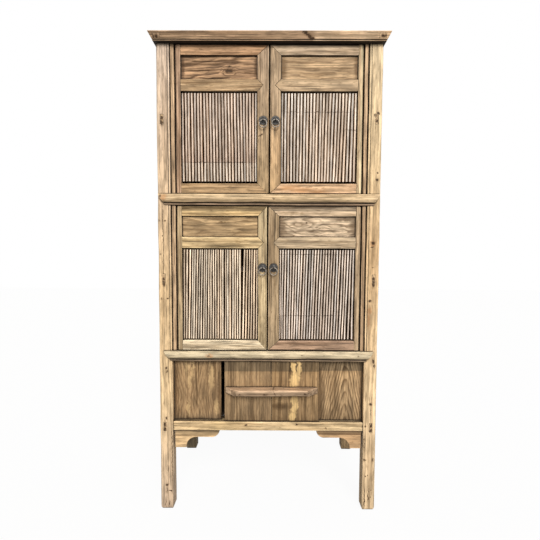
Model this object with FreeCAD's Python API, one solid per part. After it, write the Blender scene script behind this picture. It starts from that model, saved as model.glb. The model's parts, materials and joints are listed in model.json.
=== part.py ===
import FreeCAD, Part
import math
import os

from FreeCAD import Vector

# Kitchen cabinet of pegged softwood: four posts, a moulded top frame, two pairs of
# slatted doors on wooden pivots and a low store behind a sliding board panel.
# Millimetres, +X to the right seen from the front, +Y to the back, +Z up,
# origin on the floor under the middle of the whole cabinet.

# Carcass, from the floor upwards
carcass_width = 850.0
carcass_depth = 500.0
leg_clearance = 322.0
bottom_rail_height = 35.0
base_opening = 244.0
lower_rail_height = 40.0
lower_opening = 562.0
mid_rail_height = 43.0
upper_opening = 554.0

# Fits shared by all pieces
overrun = 5.0
joint_clearance = 0.2
panel_clearance = 0.3
slide_clearance = 0.4
board_seam = 0.4
corner_share = 1.0 - math.sqrt(0.5)
full_turn = 360.0

# Posts
post_width = 51.0
post_depth = 48.0
post_round = 11.0
post_bead_radius = 4.0
post_groove_width = 1.6
post_groove_depth = 2.0
post_tenon_size = 16.0
post_tenon_height = 15.0

# Top frame and its moulding
top_thickness = 30.0
top_front_overhang = 32.0
top_side_overhang = 19.0
top_rear_overhang = 8.0
top_front_width = 90.0
top_side_width = 76.0
top_rear_width = 78.0
top_edge_round = 4.0
top_front_slope = 13.0
top_side_slope = 12.0
top_bead_radius = 1.8
top_groove_height = 2.0
top_groove_depth = 3.0
top_tenon_width = 26.0
top_tenon_height = 15.0
top_tenon_inset = 17.0
top_board_thickness = 13.0
top_board_drop = 4.0
top_board_groove = 8.0
top_board_count = 3

# Front rails
front_rail_back = 58.0
rail_face_edge = 2.0
rail_face_bulge = 10.0
rail_bead_radius = 4.0
rail_groove_height = 2.0
rail_groove_depth = 3.0
mid_rail_end_inset = 3.0
mid_rail_end_slope = 26.0
lower_rail_end_inset = 18.0
lower_rail_end_slope = 30.0
rail_tenon_length = 22.0
rail_tenon_thickness = 18.0
rail_tenon_setback = 16.0
rail_tenon_inset = 8.0
bottom_rail_setback = 2.0
bottom_rail_round = 4.0

# Side and rear rails, panels, floors and shelves
side_rail_thickness = 32.0
side_rail_height = 40.0
side_tenon_width = 11.0
side_tenon_offset = 16.0
side_tenon_inset = 3.0
blind_tenon_length = 24.0
rear_rail_thickness = 32.0
rear_rail_height = 40.0
panel_thickness = 10.0
panel_reveal = 5.0
panel_groove = 6.0
back_board_setback = 12.0
back_board_count = 5
floor_thickness = 12.0
floor_board_count = 3
floor_side_gap = 3.0
shelf_share = 0.56
shelf_front_gap = 14.0

# Apron brackets
bracket_setback = 4.0
bracket_post_gap = 8.0
bracket_thickness = 16.0
bracket_drop = 70.0
bracket_mid_drop = 27.0
bracket_foot = 43.0
bracket_cove = 36.0
bracket_flat = 60.0
bracket_nose = 36.0
bracket_tip = 3.0

# Low store: fixed boards, sliding panel and its bar
store_setback = 10.0
store_board_thickness = 9.0
store_lip = 4.0
store_groove = 7.0
store_top_groove = 9.0
store_panel_play = 3.0
store_panel_shift = 13.8
bar_height = 24.5
bar_depth = 40.0
bar_rise = 113.0
bar_end_inset = 3.0
bar_end_taper = 47.0
bar_round = 8.0
bar_tenon_width = 26.0
bar_tenon_height = 13.0

# Doors
jamb_width = 17.0
jamb_setback = 3.0
jamb_depth = 26.0
jamb_round = 4.0
left_jamb_gap = 2.5
right_jamb_gap = 4.0
door_setback = 4.0
door_thickness = 24.0
door_side_gap = 3.0
door_top_gap = 2.0
door_bottom_gap = 3.0
door_meeting_gap = 5.6
hinge_stile_width = 20.5
pivot_radius = 6.0
pivot_length = 13.0
pivot_clearance = 0.3
pivot_end_clearance = 1.0
door_top_rail = 38.0
door_mid_rail = 43.0
door_bottom_rail = 37.0
door_tenon_length = 9.0
door_tenon_inset = 9.0
door_tenon_cover = 8.0
door_panel_thickness = 8.0
door_panel_setback = 8.0
door_groove = 6.0
upper_panel_height = 88.0
lower_panel_height = 80.0
upper_field_edge = 44.0
lower_field_edge = 40.0
upper_gap_shift = 1.5
lower_gap_shift = -4.0
upper_pull_height = 272.0
lower_pull_height = 322.0

# Lattice of upright slats on two cross bars
upper_left_slats = 25
upper_right_slats = 24
lower_left_slats = 31
lower_left_lost_slat = 6
lower_right_slats = 28
slat_width_share = 0.68
slat_top_gap = 5.5
slat_bottom_gap = 4.0
slat_thickness = 7.0
slat_round = 3.0
slat_setback = 7.0
cross_bar_thickness = 6.0
cross_bar_height = 8.0
cross_bar_shares = (0.25, 0.78)

# Ring pulls
plate_radius = 16.0
plate_rim = 1.4
plate_dome_radius = 12.0
plate_dome_height = 5.0
eye_radius = 4.0
eye_wire = 1.3
eye_stand = 1.0
shank_radius = 1.8
shank_clearance = 0.2
shank_end = 3.0
ring_radius = 14.0
ring_wire = 2.0

# Places that follow from the sizes
half_width = carcass_width / 2
inner_face = half_width - post_width
whole_depth = top_front_overhang + carcass_depth + top_rear_overhang
front = top_front_overhang - whole_depth / 2
rear = front + carcass_depth
post_back = front + post_depth
rear_post_front = rear - post_depth
rail_back = front + front_rail_back

bottom_level = (leg_clearance, leg_clearance + bottom_rail_height)
lower_foot = bottom_level[1] + base_opening
lower_level = (lower_foot, lower_foot + lower_rail_height)
mid_foot = lower_level[1] + lower_opening
mid_level = (mid_foot, mid_foot + mid_rail_height)
underside = mid_level[1] + upper_opening
cabinet_height = underside + top_thickness

top_front = front - top_front_overhang
top_rear = rear + top_rear_overhang
top_half = half_width + top_side_overhang
field_front = top_front + top_front_width
field_rear = top_rear - top_rear_width
field_half = top_half - top_side_width

side_panel_outer = half_width - panel_reveal
side_panel_inner = side_panel_outer - panel_thickness
back_boards_front = rear_post_front + back_board_setback

base_floor_top = bottom_level[1] + floor_thickness
lower_shelf_top = lower_level[1] + shelf_share * lower_opening
upper_shelf_top = mid_level[1] + shelf_share * upper_opening
board_tops = (base_floor_top, lower_level[1], lower_shelf_top, mid_level[1], upper_shelf_top)
side_rail_tops = [top - floor_thickness for top in board_tops]
side_levels = [(top - side_rail_height, top) for top in side_rail_tops]
side_tenon_shows = (True, False, True, False, True)
rear_levels = [(top - rear_rail_height, top) for top in (bottom_level[1], lower_level[1], mid_level[1])]

store_front = front + store_setback
store_back = store_front + store_board_thickness
fixed_front = store_back + store_lip
fixed_back = fixed_front + store_board_thickness
store_quarter = inner_face / 2

opening_edge = inner_face - jamb_width
door_edge = opening_edge - door_side_gap
door_field_outer = door_edge - hinge_stile_width
door_front = front + door_setback
door_back = door_front + door_thickness
pivot_x = door_edge - door_thickness / 2
pivot_y = door_front + door_thickness / 2

nodes = {}


# Shapes
def add(name, *shapes):
    """Keep the solids of one node under the node's name."""
    nodes[name] = [solid for shape in shapes for solid in shape.Solids]


def block(x, y, z):
    """Box between two ends along each axis, given in any order."""
    corner = Vector(min(x), min(y), min(z))
    return Part.makeBox(max(x) - min(x), max(y) - min(y), max(z) - min(z), corner)


def grown(span, by):
    return (min(span) - by, max(span) + by)


def on_side(side, span):
    """Span along x on the right (1) or left (-1) of the cabinet."""
    return (side * span[0], side * span[1])


def mortise(spans):
    """Hole for a tenon given by its three spans."""
    return block(*[grown(span, joint_clearance) for span in spans])


def outline(steps, place):
    """Flat face inside a closed outline. A step is a point, or an arc's middle and end."""
    edges = []
    here = place(*steps[0])
    for step in steps[1:] + steps[:1]:
        if isinstance(step[0], tuple):
            end = place(*step[1])
            edges.append(Part.Arc(here, place(*step[0]), end).toShape())
        else:
            end = place(*step)
            edges.append(Part.makeLine(here, end))
        here = end
    return Part.Face(Part.Wire(edges))


def prism(steps, place, travel):
    """Closed outline pushed along travel."""
    return outline(steps, place).extrude(travel)


def upright(steps, z, side=1):
    """Plan outline (x, y) raised from one height to another."""
    return prism(steps, lambda x, y: Vector(side * x, y, z[0]), Vector(0, 0, z[1] - z[0]))


def lengthwise(steps, x):
    """Section (y, z) run from left to right."""
    return prism(steps, lambda y, z: Vector(x[0], y, z), Vector(x[1] - x[0], 0, 0))


def frontal(steps, y, side=1):
    """Outline (x, z) seen from the front, pushed from front to back."""
    return prism(steps, lambda x, z: Vector(side * x, y[0], z), Vector(0, y[1] - y[0], 0))


def corner_arc(corner, start, end):
    """Arc step round a corner, from its start offset to its end offset."""
    middle = tuple(c + corner_share * (s + e) for c, s, e in zip(corner, start, end))
    return (middle, tuple(c + e for c, e in zip(corner, end)))


def boards_in(span, count):
    """Spans of boards laid edge to edge across a span."""
    width = (max(span) - min(span)) / count
    starts = [min(span) + width * index for index in range(count)]
    return [(start + board_seam / 2, start + width - board_seam / 2) for start in starts]


# Tenons, each as its spans along x, y and z
def post_rail_tenon(side, y, level):
    """Tenon of a front or rear rail in a post."""
    x = on_side(side, (inner_face, inner_face + rail_tenon_length))
    return (x, (y, y + rail_tenon_thickness), grown(level, -rail_tenon_inset))


def front_tenon(side, level):
    return post_rail_tenon(side, front + rail_tenon_setback, level)


def rear_tenon(side, level):
    return post_rail_tenon(side, rear_post_front + (rear_rail_thickness - rail_tenon_thickness) / 2, level)


def side_tenons(side, level, shows):
    """Front and rear tenon of a side rail. One that shows runs through the front post."""
    outer = half_width - side_tenon_offset
    x = on_side(side, (outer - side_tenon_width, outer))
    z = grown(level, -side_tenon_inset)
    tip = front if shows else post_back - blind_tenon_length
    return (x, (tip, post_back), z), (x, (rear_post_front, rear_post_front + blind_tenon_length), z)


def post_tenon(side, y):
    """Tenon of a post in the top frame, clear of the frame's own corner tenon."""
    x = inner_face + post_bead_radius
    return (
        on_side(side, (x, x + post_tenon_size)),
        (y - post_tenon_size / 2, y + post_tenon_size / 2),
        (underside, underside + post_tenon_height),
    )


def top_tenon(side, y):
    """Through tenon of a side member of the top frame."""
    outer = top_half - top_tenon_inset
    middle = (underside + cabinet_height) / 2
    z = (middle - top_tenon_height / 2, middle + top_tenon_height / 2)
    return (on_side(side, (outer - top_tenon_width, outer)), y, z)


# Posts
def side_panel_groove(side, y):
    x = grown((side_panel_inner, side_panel_outer), panel_clearance)
    return block(on_side(side, x), y, (side_levels[0][0], underside))


def back_groove_span():
    return grown((back_boards_front, back_boards_front + panel_thickness), panel_clearance)


def front_post(side):
    """Post beaded along its inner front edge. The bead ends behind the lower rail; the leg is plain."""
    bead_foot = sum(lower_level) / 2
    bead_middle = inner_face + post_bead_radius
    bead_edge = bead_middle + math.sqrt(post_groove_depth * (2 * post_bead_radius - post_groove_depth))
    groove_edge = bead_edge + post_groove_width
    groove_back = front + post_groove_depth
    outer_corner = [
        (half_width, front + post_round),
        corner_arc((half_width, front), (0, post_round), (-post_round, 0)),
    ]
    bead = [
        (groove_edge, front),
        (groove_edge, groove_back),
        (bead_edge, groove_back),
        ((bead_middle, front), (inner_face, front + post_bead_radius)),
    ]
    back = [(inner_face, post_back), (half_width, post_back)]
    post = upright(outer_corner + bead + back, (bead_foot, underside), side)
    post = post.fuse(upright(outer_corner + [(inner_face, front)] + back, (0, bead_foot), side))
    post = post.removeSplitter()
    post = post.fuse(block(*post_tenon(side, front + post_depth / 2)))
    for level in (bottom_level, lower_level, mid_level):
        post = post.cut(mortise(front_tenon(side, level)))
    for level, shows in zip(side_levels, side_tenon_shows):
        post = post.cut(mortise(side_tenons(side, level, shows)[0]))
    return post.cut(side_panel_groove(side, (post_back - panel_groove, post_back + overrun)))


def rear_post(side):
    plan = [
        (half_width, rear - post_round),
        corner_arc((half_width, rear), (0, -post_round), (-post_round, 0)),
        (inner_face, rear),
        (inner_face, rear_post_front),
        (half_width, rear_post_front),
    ]
    post = upright(plan, (0, underside), side)
    post = post.fuse(block(*post_tenon(side, rear - post_depth / 2)))
    for level in rear_levels:
        post = post.cut(mortise(rear_tenon(side, level)))
    for level, shows in zip(side_levels, side_tenon_shows):
        post = post.cut(mortise(side_tenons(side, level, shows)[1]))
    post = post.cut(side_panel_groove(side, (rear_post_front - overrun, rear_post_front + panel_groove)))
    x = on_side(side, (inner_face - overrun, inner_face + panel_groove))
    return post.cut(block(x, back_groove_span(), (rear_levels[0][0], underside)))


# Top frame
def top_moulding(edge, slope):
    """Edge profile of the top, from its upper surface down to its underside."""
    face_foot = underside + 2 * top_bead_radius + top_groove_height
    foot = edge + slope
    recess = foot + top_groove_depth
    return [
        (edge + top_edge_round, cabinet_height),
        corner_arc((edge, cabinet_height), (top_edge_round, 0), (0, -top_edge_round)),
        (foot, face_foot),
        (recess, face_foot),
        (recess, underside + 2 * top_bead_radius),
        ((recess - top_bead_radius, underside + top_bead_radius), (recess, underside)),
    ]


def top_slab():
    """Moulded outline of the whole top, from which its members are parted."""
    back_edge = [(top_rear, underside), (top_rear, cabinet_height)]
    slab = lengthwise(top_moulding(top_front, top_front_slope) + back_edge, (-top_half, top_half))
    far_edge = [(top_half, underside), (top_half, cabinet_height)]
    for side in (-1, 1):
        edge = top_moulding(-top_half, top_side_slope) + far_edge
        slab = slab.common(frontal(edge, (top_front, top_rear), side))
    return slab


def pivot_socket(side, z):
    foot = Vector(side * pivot_x, pivot_y, z[0])
    return Part.makeCylinder(pivot_radius + pivot_clearance, z[1] - z[0], foot)


def top_frame():
    slab = top_slab()
    height = (underside, cabinet_height)
    board_z = (cabinet_height - top_board_drop - top_board_thickness, cabinet_height - top_board_drop)
    reach = field_half + top_board_groove
    field = block(
        (-reach, reach),
        (field_front - top_board_groove, field_rear + top_board_groove),
        grown(board_z, panel_clearance),
    )
    whole = grown((-top_half, top_half), overrun)
    front_member = slab.common(block(whole, (top_front - overrun, field_front), height)).cut(field)
    rear_member = slab.common(block(whole, (field_rear, top_rear + overrun), height)).cut(field)
    for side, name in ((-1, "top_left_rail"), (1, "top_right_rail")):
        front_spans = top_tenon(side, (top_front - overrun, field_front))
        rear_spans = top_tenon(side, (field_rear, top_rear + overrun))
        x = on_side(side, (field_half, top_half + overrun))
        member = slab.common(block(x, (field_front, field_rear), height)).cut(field)
        tenons = slab.common(block(*front_spans)).fuse(slab.common(block(*rear_spans)))
        add(name, member.fuse(tenons))
        front_member = front_member.cut(mortise(front_spans))
        front_member = front_member.cut(mortise(post_tenon(side, front + post_depth / 2)))
        socket_top = underside - door_top_gap + pivot_length + pivot_end_clearance
        front_member = front_member.cut(pivot_socket(side, (underside - overrun, socket_top)))
        rear_member = rear_member.cut(mortise(rear_spans))
        rear_member = rear_member.cut(mortise(post_tenon(side, rear - post_depth / 2)))
    add("top_front_rail", front_member)
    add("top_rear_rail", rear_member)
    board_x = grown((-reach, reach), -panel_clearance)
    board_y = grown((field_front - top_board_groove, field_rear + top_board_groove), -panel_clearance)
    add("top_boards", *[block(board_x, y, board_z) for y in boards_in(board_y, top_board_count)])


# Front rails
def lapped_rail(level, end_inset, end_slope):
    """Half-round rail with a bead below, whose shoulders lap over the front posts."""
    edge = front - rail_face_edge
    face_foot = level[0] + 2 * rail_bead_radius + rail_groove_height
    recess = edge + rail_groove_depth
    section = [
        (rail_back, level[1]),
        (edge, level[1]),
        ((edge - rail_face_bulge, (level[1] + face_foot) / 2), (edge, face_foot)),
        (recess, face_foot),
        (recess, level[0] + 2 * rail_bead_radius),
        ((recess - rail_bead_radius, level[0] + rail_bead_radius), (recess, level[0])),
        (rail_back, level[0]),
    ]
    end = half_width - end_inset
    foot = end - end_slope
    ends = [(-end, level[1]), (end, level[1]), (foot, level[0]), (-foot, level[0])]
    reach = (front - rail_face_edge - rail_face_bulge, rail_back)
    rail = lengthwise(section, (-end, end)).common(frontal(ends, reach))
    for side in (-1, 1):
        past_post = on_side(side, (inner_face, half_width + overrun))
        rail = rail.cut(block(past_post, (front, rail_back + overrun), grown(level, overrun)))
        rail = rail.fuse(block(*front_tenon(side, level)))
    return rail


def rest_socket(side, top):
    """Socket for the lower pivot of a door that stands over a rail."""
    depth = pivot_length - door_bottom_gap + pivot_end_clearance
    return pivot_socket(side, (top - depth, top + overrun))


def store_grooves(z):
    """Tracks of the sliding panel and of the fixed boards, along the whole opening."""
    x = (-inner_face, inner_face)
    slide = block(x, grown((store_front, store_back), slide_clearance), z)
    return slide.fuse(block(x, grown((fixed_front, fixed_back), slide_clearance), z))


def front_rails():
    mid = lapped_rail(mid_level, mid_rail_end_inset, mid_rail_end_slope)
    lower = lapped_rail(lower_level, lower_rail_end_inset, lower_rail_end_slope)
    lower = lower.cut(store_grooves((lower_level[0] - overrun, lower_level[0] + store_top_groove)))
    hang_depth = pivot_length - door_top_gap + pivot_end_clearance
    for side in (-1, 1):
        mid = mid.cut(rest_socket(side, mid_level[1]))
        mid = mid.cut(pivot_socket(side, (mid_level[0] - overrun, mid_level[0] + hang_depth)))
        lower = lower.cut(rest_socket(side, lower_level[1]))
    add("mid_front_rail", mid)
    add("lower_front_rail", lower)

    face = front + bottom_rail_setback
    section = [
        (rail_back, bottom_level[1]),
        (face + bottom_rail_round, bottom_level[1]),
        corner_arc((face, bottom_level[1]), (bottom_rail_round, 0), (0, -bottom_rail_round)),
        (face, bottom_level[0] + bottom_rail_round),
        corner_arc((face, bottom_level[0]), (0, bottom_rail_round), (bottom_rail_round, 0)),
        (rail_back, bottom_level[0]),
    ]
    bottom = lengthwise(section, (-inner_face, inner_face))
    for side in (-1, 1):
        bottom = bottom.fuse(block(*front_tenon(side, bottom_level)))
    tracks = store_grooves((bottom_level[1] - store_groove, bottom_level[1] + overrun))
    add("bottom_front_rail", bottom.cut(tracks))


def apron_bracket(side):
    """Shaped bracket under the bottom rail: a foot, a cove, a flat and a rounded nose."""
    flat_end = bracket_foot + bracket_cove + bracket_flat
    tip = flat_end + bracket_nose
    steps = [
        (0, 0),
        (0, bracket_drop),
        (bracket_foot, bracket_drop),
        corner_arc((bracket_foot, bracket_mid_drop), (0, bracket_drop - bracket_mid_drop), (bracket_cove, 0)),
        (flat_end, bracket_mid_drop),
        corner_arc((tip, bracket_mid_drop), (-bracket_nose, 0), (0, bracket_tip - bracket_mid_drop)),
        (tip, 0),
    ]
    y = front + bracket_setback
    outer = inner_face - bracket_post_gap
    return prism(
        steps,
        lambda along, down: Vector(side * (outer - along), y, bottom_level[0] - down),
        Vector(0, bracket_thickness, 0),
    )


# Sides, back, floors and shelves
def side_frame(side, name):
    x = on_side(side, (half_width - side_rail_thickness, half_width))
    groove_x = on_side(side, grown((side_panel_inner, side_panel_outer), panel_clearance))
    run = (post_back, rear_post_front)
    rails = []
    for index, (level, shows) in enumerate(zip(side_levels, side_tenon_shows)):
        rail = block(x, run, level)
        rail = rail.cut(block(groove_x, run, (level[1] - panel_groove, level[1] + overrun)))
        if index:
            rail = rail.cut(block(groove_x, run, (level[0] - overrun, level[0] + panel_groove)))
        for tenon in side_tenons(side, level, shows):
            rail = rail.fuse(block(*tenon))
        rails.append(rail)
    add(name + "_side_rails", *rails)

    panel_x = on_side(side, (side_panel_inner, side_panel_outer))
    panel_y = grown(run, panel_groove - panel_clearance)
    feet = [level[1] - panel_groove + panel_clearance for level in side_levels]
    heads = [level[0] + panel_groove - panel_clearance for level in side_levels[1:]]
    heads.append(underside - panel_clearance)
    add(name + "_side_panels", *[block(panel_x, panel_y, z) for z in zip(feet, heads)])


def back_frame():
    groove_y = back_groove_span()
    run = (-inner_face, inner_face)
    rails = []
    for index, level in enumerate(rear_levels):
        rail = block(run, (rear_post_front, rear_post_front + rear_rail_thickness), level)
        rail = rail.cut(block(run, groove_y, (level[1] - panel_groove, level[1] + overrun)))
        if index:
            rail = rail.cut(block(run, groove_y, (level[0] - overrun, level[0] + panel_groove)))
        for side in (-1, 1):
            rail = rail.fuse(block(*rear_tenon(side, level)))
        rails.append(rail)
    add("rear_rails", *rails)

    y = (back_boards_front, back_boards_front + panel_thickness)
    across = boards_in(grown(run, panel_groove - panel_clearance), back_board_count)
    feet = [level[1] - panel_groove + panel_clearance for level in rear_levels]
    heads = [level[0] + panel_groove - panel_clearance for level in rear_levels[1:]]
    heads.append(underside - panel_clearance)
    add("back_boards", *[block(x, y, z) for z in zip(feet, heads) for x in across])


def board_layer(name, top, front_gap):
    """Loose boards laid on a pair of side rails."""
    reach = side_panel_inner - floor_side_gap
    depth = boards_in((rail_back + front_gap, rear_post_front), floor_board_count)
    add(name, *[block((-reach, reach), y, (top - floor_thickness, top)) for y in depth])


# Low store
def low_store():
    bottom = bottom_level[1] - store_groove + slide_clearance
    top = lower_level[0] + store_groove
    for side, name in ((-1, "fixed_board_left"), (1, "fixed_board_right")):
        x = on_side(side, (inner_face - store_quarter, inner_face))
        add(name, block(x, (fixed_front, fixed_back), (bottom, top)))

    half_panel = store_quarter - store_panel_play / 2
    left = store_panel_shift - half_panel
    right = store_panel_shift + half_panel
    bar_z = (bottom_level[1] + bar_rise, bottom_level[1] + bar_rise + bar_height)
    bar_front = store_front - bar_depth
    bar_x = (left + bar_end_inset, right - bar_end_inset)
    section = [
        (store_front, bar_z[1]),
        (bar_front + bar_round, bar_z[1]),
        corner_arc((bar_front, bar_z[1]), (bar_round, 0), (0, -bar_round)),
        (bar_front, bar_z[0] + bar_round),
        corner_arc((bar_front, bar_z[0]), (0, bar_round), (bar_round, 0)),
        (store_front, bar_z[0]),
    ]
    plan = [
        (bar_x[0], store_front),
        (bar_x[1], store_front),
        (bar_x[1] - bar_end_taper, bar_front),
        (bar_x[0] + bar_end_taper, bar_front),
    ]
    bar = lengthwise(section, bar_x).common(upright(plan, bar_z))
    tenon_z = (sum(bar_z) / 2 - bar_tenon_height / 2, sum(bar_z) / 2 + bar_tenon_height / 2)
    halves = (("panel_board_left", left, store_panel_shift), ("panel_board_right", store_panel_shift, right))
    for name, start, end in halves:
        middle = (start + end) / 2
        tenon = (grown((middle, middle), bar_tenon_width / 2), (store_front, store_back), tenon_z)
        board = block(grown((start, end), -board_seam / 2), (store_front, store_back), (bottom, top))
        add(name, board.cut(mortise(tenon)))
        bar = bar.fuse(block(*tenon))
    add("panel_handle_bar", bar)


# Doors
def jamb_strips():
    """Strips between the rails on which the doors close, a little apart from the posts."""
    y = front + jamb_setback
    strips = []
    for side, gap in ((-1, left_jamb_gap), (1, right_jamb_gap)):
        outer = inner_face - gap
        plan = [
            (outer, y + jamb_depth),
            (outer, y + jamb_round),
            corner_arc((outer, y), (0, jamb_round), (-jamb_round, 0)),
            (opening_edge + jamb_round, y),
            corner_arc((opening_edge, y), (jamb_round, 0), (0, jamb_round)),
            (opening_edge, y + jamb_depth),
        ]
        for z in ((lower_level[1], mid_level[0]), (mid_level[1], underside)):
            strips.append(upright(plan, z, side))
    add("jamb_strips", *strips)


def hinge_stile(side, z):
    """Stile that is round about its pivot, with a pin at each end."""
    plan = [
        (door_field_outer, door_front),
        (pivot_x, door_front),
        ((door_edge, pivot_y), (pivot_x, door_back)),
        (door_field_outer, door_back),
    ]
    stile = upright(plan, z, side)
    pins = Part.makeCylinder(
        pivot_radius,
        z[1] - z[0] + 2 * pivot_length,
        Vector(side * pivot_x, pivot_y, z[0] - pivot_length),
    )
    return stile.fuse(pins)


def lattice(side, inner, z, count, lost):
    """Upright slats, round in front, on cross bars. Places count from the meeting stile."""
    slat_front = door_front + slat_setback
    slat_back = slat_front + slat_thickness
    pitch = (door_field_outer - inner) / count
    slats = []
    for place in range(count):
        if place == lost:
            continue
        middle = inner + pitch * (place + 1 / 2)
        low = middle - pitch * slat_width_share / 2
        high = middle + pitch * slat_width_share / 2
        plan = [
            (low, slat_back),
            (low, slat_front + slat_round),
            ((middle, slat_front), (high, slat_front + slat_round)),
            (high, slat_back),
        ]
        slats.append(upright(plan, (z[0] + slat_bottom_gap, z[1] - slat_top_gap), side))
    bar_x = on_side(side, grown((inner, door_field_outer), door_groove - panel_clearance))
    bar_y = (slat_back, slat_back + cross_bar_thickness)
    bars = []
    for share in cross_bar_shares:
        middle = z[0] + share * (z[1] - z[0])
        bars.append((bar_x, bar_y, grown((middle, middle), cross_bar_height / 2)))
    return slats + [block(*bar) for bar in bars], [mortise(bar) for bar in bars]


def ring_pull(side, x, z):
    """Domed plate, staple with an eye, and a ring that hangs in the eye."""
    here = Vector(side * x, door_front, z)
    back = Vector(0, 1, 0)
    dome_rise = plate_dome_height - plate_rim
    profile = [
        (0, 0),
        (plate_radius, 0),
        (plate_radius, plate_rim),
        (plate_dome_radius, plate_rim),
        corner_arc((plate_dome_radius, plate_dome_height), (0, -dome_rise), (-plate_dome_radius, 0)),
    ]
    plate = outline(profile, lambda out, rise: here + Vector(out, -rise, 0)).revolve(here, back, full_turn)
    eye_y = door_front - plate_dome_height - eye_stand - eye_wire - eye_radius
    eye = Vector(side * x, eye_y, z)
    shank_start = eye + Vector(0, eye_radius, 0)
    shank_length = door_back + shank_end - shank_start.y
    shank = Part.makeCylinder(shank_radius, shank_length, shank_start, back)
    hole = Part.makeCylinder(shank_radius + shank_clearance, shank_length, shank_start, back)
    staple = Part.makeTorus(eye_radius, eye_wire, eye, Vector(1, 0, 0)).fuse(shank)
    ring = Part.makeTorus(ring_radius, ring_wire, eye - Vector(0, 0, ring_radius), back)
    return plate.cut(hole), staple, ring, hole


def door(name, side, z, panel_height, field_edge, gap_edge, pull_height, slat_count, lost_slat):
    """Door of mitred stiles and rails with a sunk panel above a lattice."""
    panel_top = z[1] - door_top_rail
    panel_foot = panel_top - panel_height
    lattice_top = panel_foot - door_mid_rail
    lattice_foot = z[0] + door_bottom_rail
    arrow = (field_edge - door_mid_rail / 2, (panel_foot + lattice_top) / 2)
    outer = door_field_outer
    thickness = (door_front, door_back)
    rail_shapes = (
        [(outer, panel_top), (outer, z[1]), (gap_edge, z[1]), (field_edge, panel_top)],
        [
            (outer, lattice_top), (outer, panel_foot),
            (field_edge, panel_foot), arrow, (field_edge, lattice_top),
        ],
        [(outer, lattice_foot), (field_edge, lattice_foot), (gap_edge, z[0]), (outer, z[0])],
    )
    spans = ((panel_top, z[1]), (lattice_top, panel_foot), (z[0], lattice_foot))
    meeting_outline = [
        (gap_edge, z[1]), (field_edge, panel_top), (field_edge, panel_foot), arrow,
        (field_edge, lattice_top), (field_edge, lattice_foot), (gap_edge, z[0]),
    ]
    meeting = frontal(meeting_outline, thickness, side)
    hinge = hinge_stile(side, z)
    tenon_y = grown(thickness, -door_thickness / 3)
    rails = []
    for shape, span in zip(rail_shapes, spans):
        rail = frontal(shape, thickness, side)
        tenon_z = grown(span, -door_tenon_inset)
        meeting_tenon = (on_side(side, (gap_edge + door_tenon_cover, field_edge)), tenon_y, tenon_z)
        hinge_tenon = (on_side(side, (outer, outer + door_tenon_length)), tenon_y, tenon_z)
        rails.append(rail.fuse(block(*meeting_tenon)).fuse(block(*hinge_tenon)))
        meeting = meeting.cut(mortise(meeting_tenon))
        hinge = hinge.cut(mortise(hinge_tenon))

    panel_y = (door_front + door_panel_setback, door_front + door_panel_setback + door_panel_thickness)
    panel_x = grown((field_edge, outer), door_groove)
    panel_z = grown((panel_foot, panel_top), door_groove)
    panel_hole = block(on_side(side, panel_x), grown(panel_y, panel_clearance), panel_z)
    panel = block(on_side(side, grown(panel_x, -panel_clearance)), panel_y, grown(panel_z, -panel_clearance))
    slats, bar_holes = lattice(side, field_edge, (lattice_foot, lattice_top), slat_count, lost_slat)
    plate, staple, ring, hole = ring_pull(side, (gap_edge + field_edge) / 2, z[0] + pull_height)
    hinge = hinge.cut(panel_hole)
    meeting = meeting.cut(panel_hole).cut(hole)
    for bar_hole in bar_holes:
        hinge = hinge.cut(bar_hole)
        meeting = meeting.cut(bar_hole)
    add(name + "_hinge_stile", hinge)
    add(name + "_meeting_stile", meeting)
    add(name + "_door_rails", *[rail.cut(panel_hole) for rail in rails])
    add(name + "_door_panel", panel)
    add(name + "_lattice", *slats)
    add(name + "_pull_plate", plate, staple)
    add(name + "_pull_ring", ring)


# Assembly
add("post_front_left", front_post(-1))
add("post_front_right", front_post(1))
add("post_rear_left", rear_post(-1))
add("post_rear_right", rear_post(1))
top_frame()
front_rails()
add("apron_bracket_left", apron_bracket(-1))
add("apron_bracket_right", apron_bracket(1))
side_frame(-1, "left")
side_frame(1, "right")
back_frame()
board_layer("base_floor_boards", base_floor_top, 0)
board_layer("lower_floor_boards", lower_level[1], 0)
board_layer("lower_shelf_boards", lower_shelf_top, shelf_front_gap)
board_layer("upper_floor_boards", mid_level[1], 0)
board_layer("upper_shelf_boards", upper_shelf_top, shelf_front_gap)
low_store()
jamb_strips()
upper_doors = (mid_level[1] + door_bottom_gap, underside - door_top_gap)
lower_doors = (lower_level[1] + door_bottom_gap, mid_level[0] - door_top_gap)
hands = (
    ("left", -1, upper_left_slats, lower_left_slats, lower_left_lost_slat),
    ("right", 1, upper_right_slats, lower_right_slats, None),
)
for hand, side, upper_slats, lower_slats, lost_slat in hands:
    upper_gap = door_meeting_gap / 2 + side * upper_gap_shift
    lower_gap = door_meeting_gap / 2 + side * lower_gap_shift
    door(
        "upper_" + hand, side, upper_doors, upper_panel_height,
        upper_field_edge, upper_gap, upper_pull_height, upper_slats, None,
    )
    door(
        "lower_" + hand, side, lower_doors, lower_panel_height,
        lower_field_edge, lower_gap, lower_pull_height, lower_slats, lost_slat,
    )

os.makedirs("parts", exist_ok=True)
for name, solids in nodes.items():
    shape = solids[0] if len(solids) == 1 else Part.makeCompound(solids)
    shape.exportStep("parts/" + name + ".step")
    print(name, len(solids), "solids", round(shape.Volume), "mm3", "valid" if shape.isValid() else "INVALID")
print(len(nodes), "nodes,", cabinet_height, "mm tall")
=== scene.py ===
# %% [markdown]
# # A weathered pine kitchen cabinet
# The cabinet stands on four square posts and holds two pairs of slatted doors over a low store with a sliding panel.
# Its solids were drawn in CAD, and this lesson dresses them: worn edges, old pine, hand-split slats and forged iron.
# The solids come in as a fixed frame in metres, so every new piece is shaped right where it belongs.

# %% Load the solids
import json
import math
import random

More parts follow.
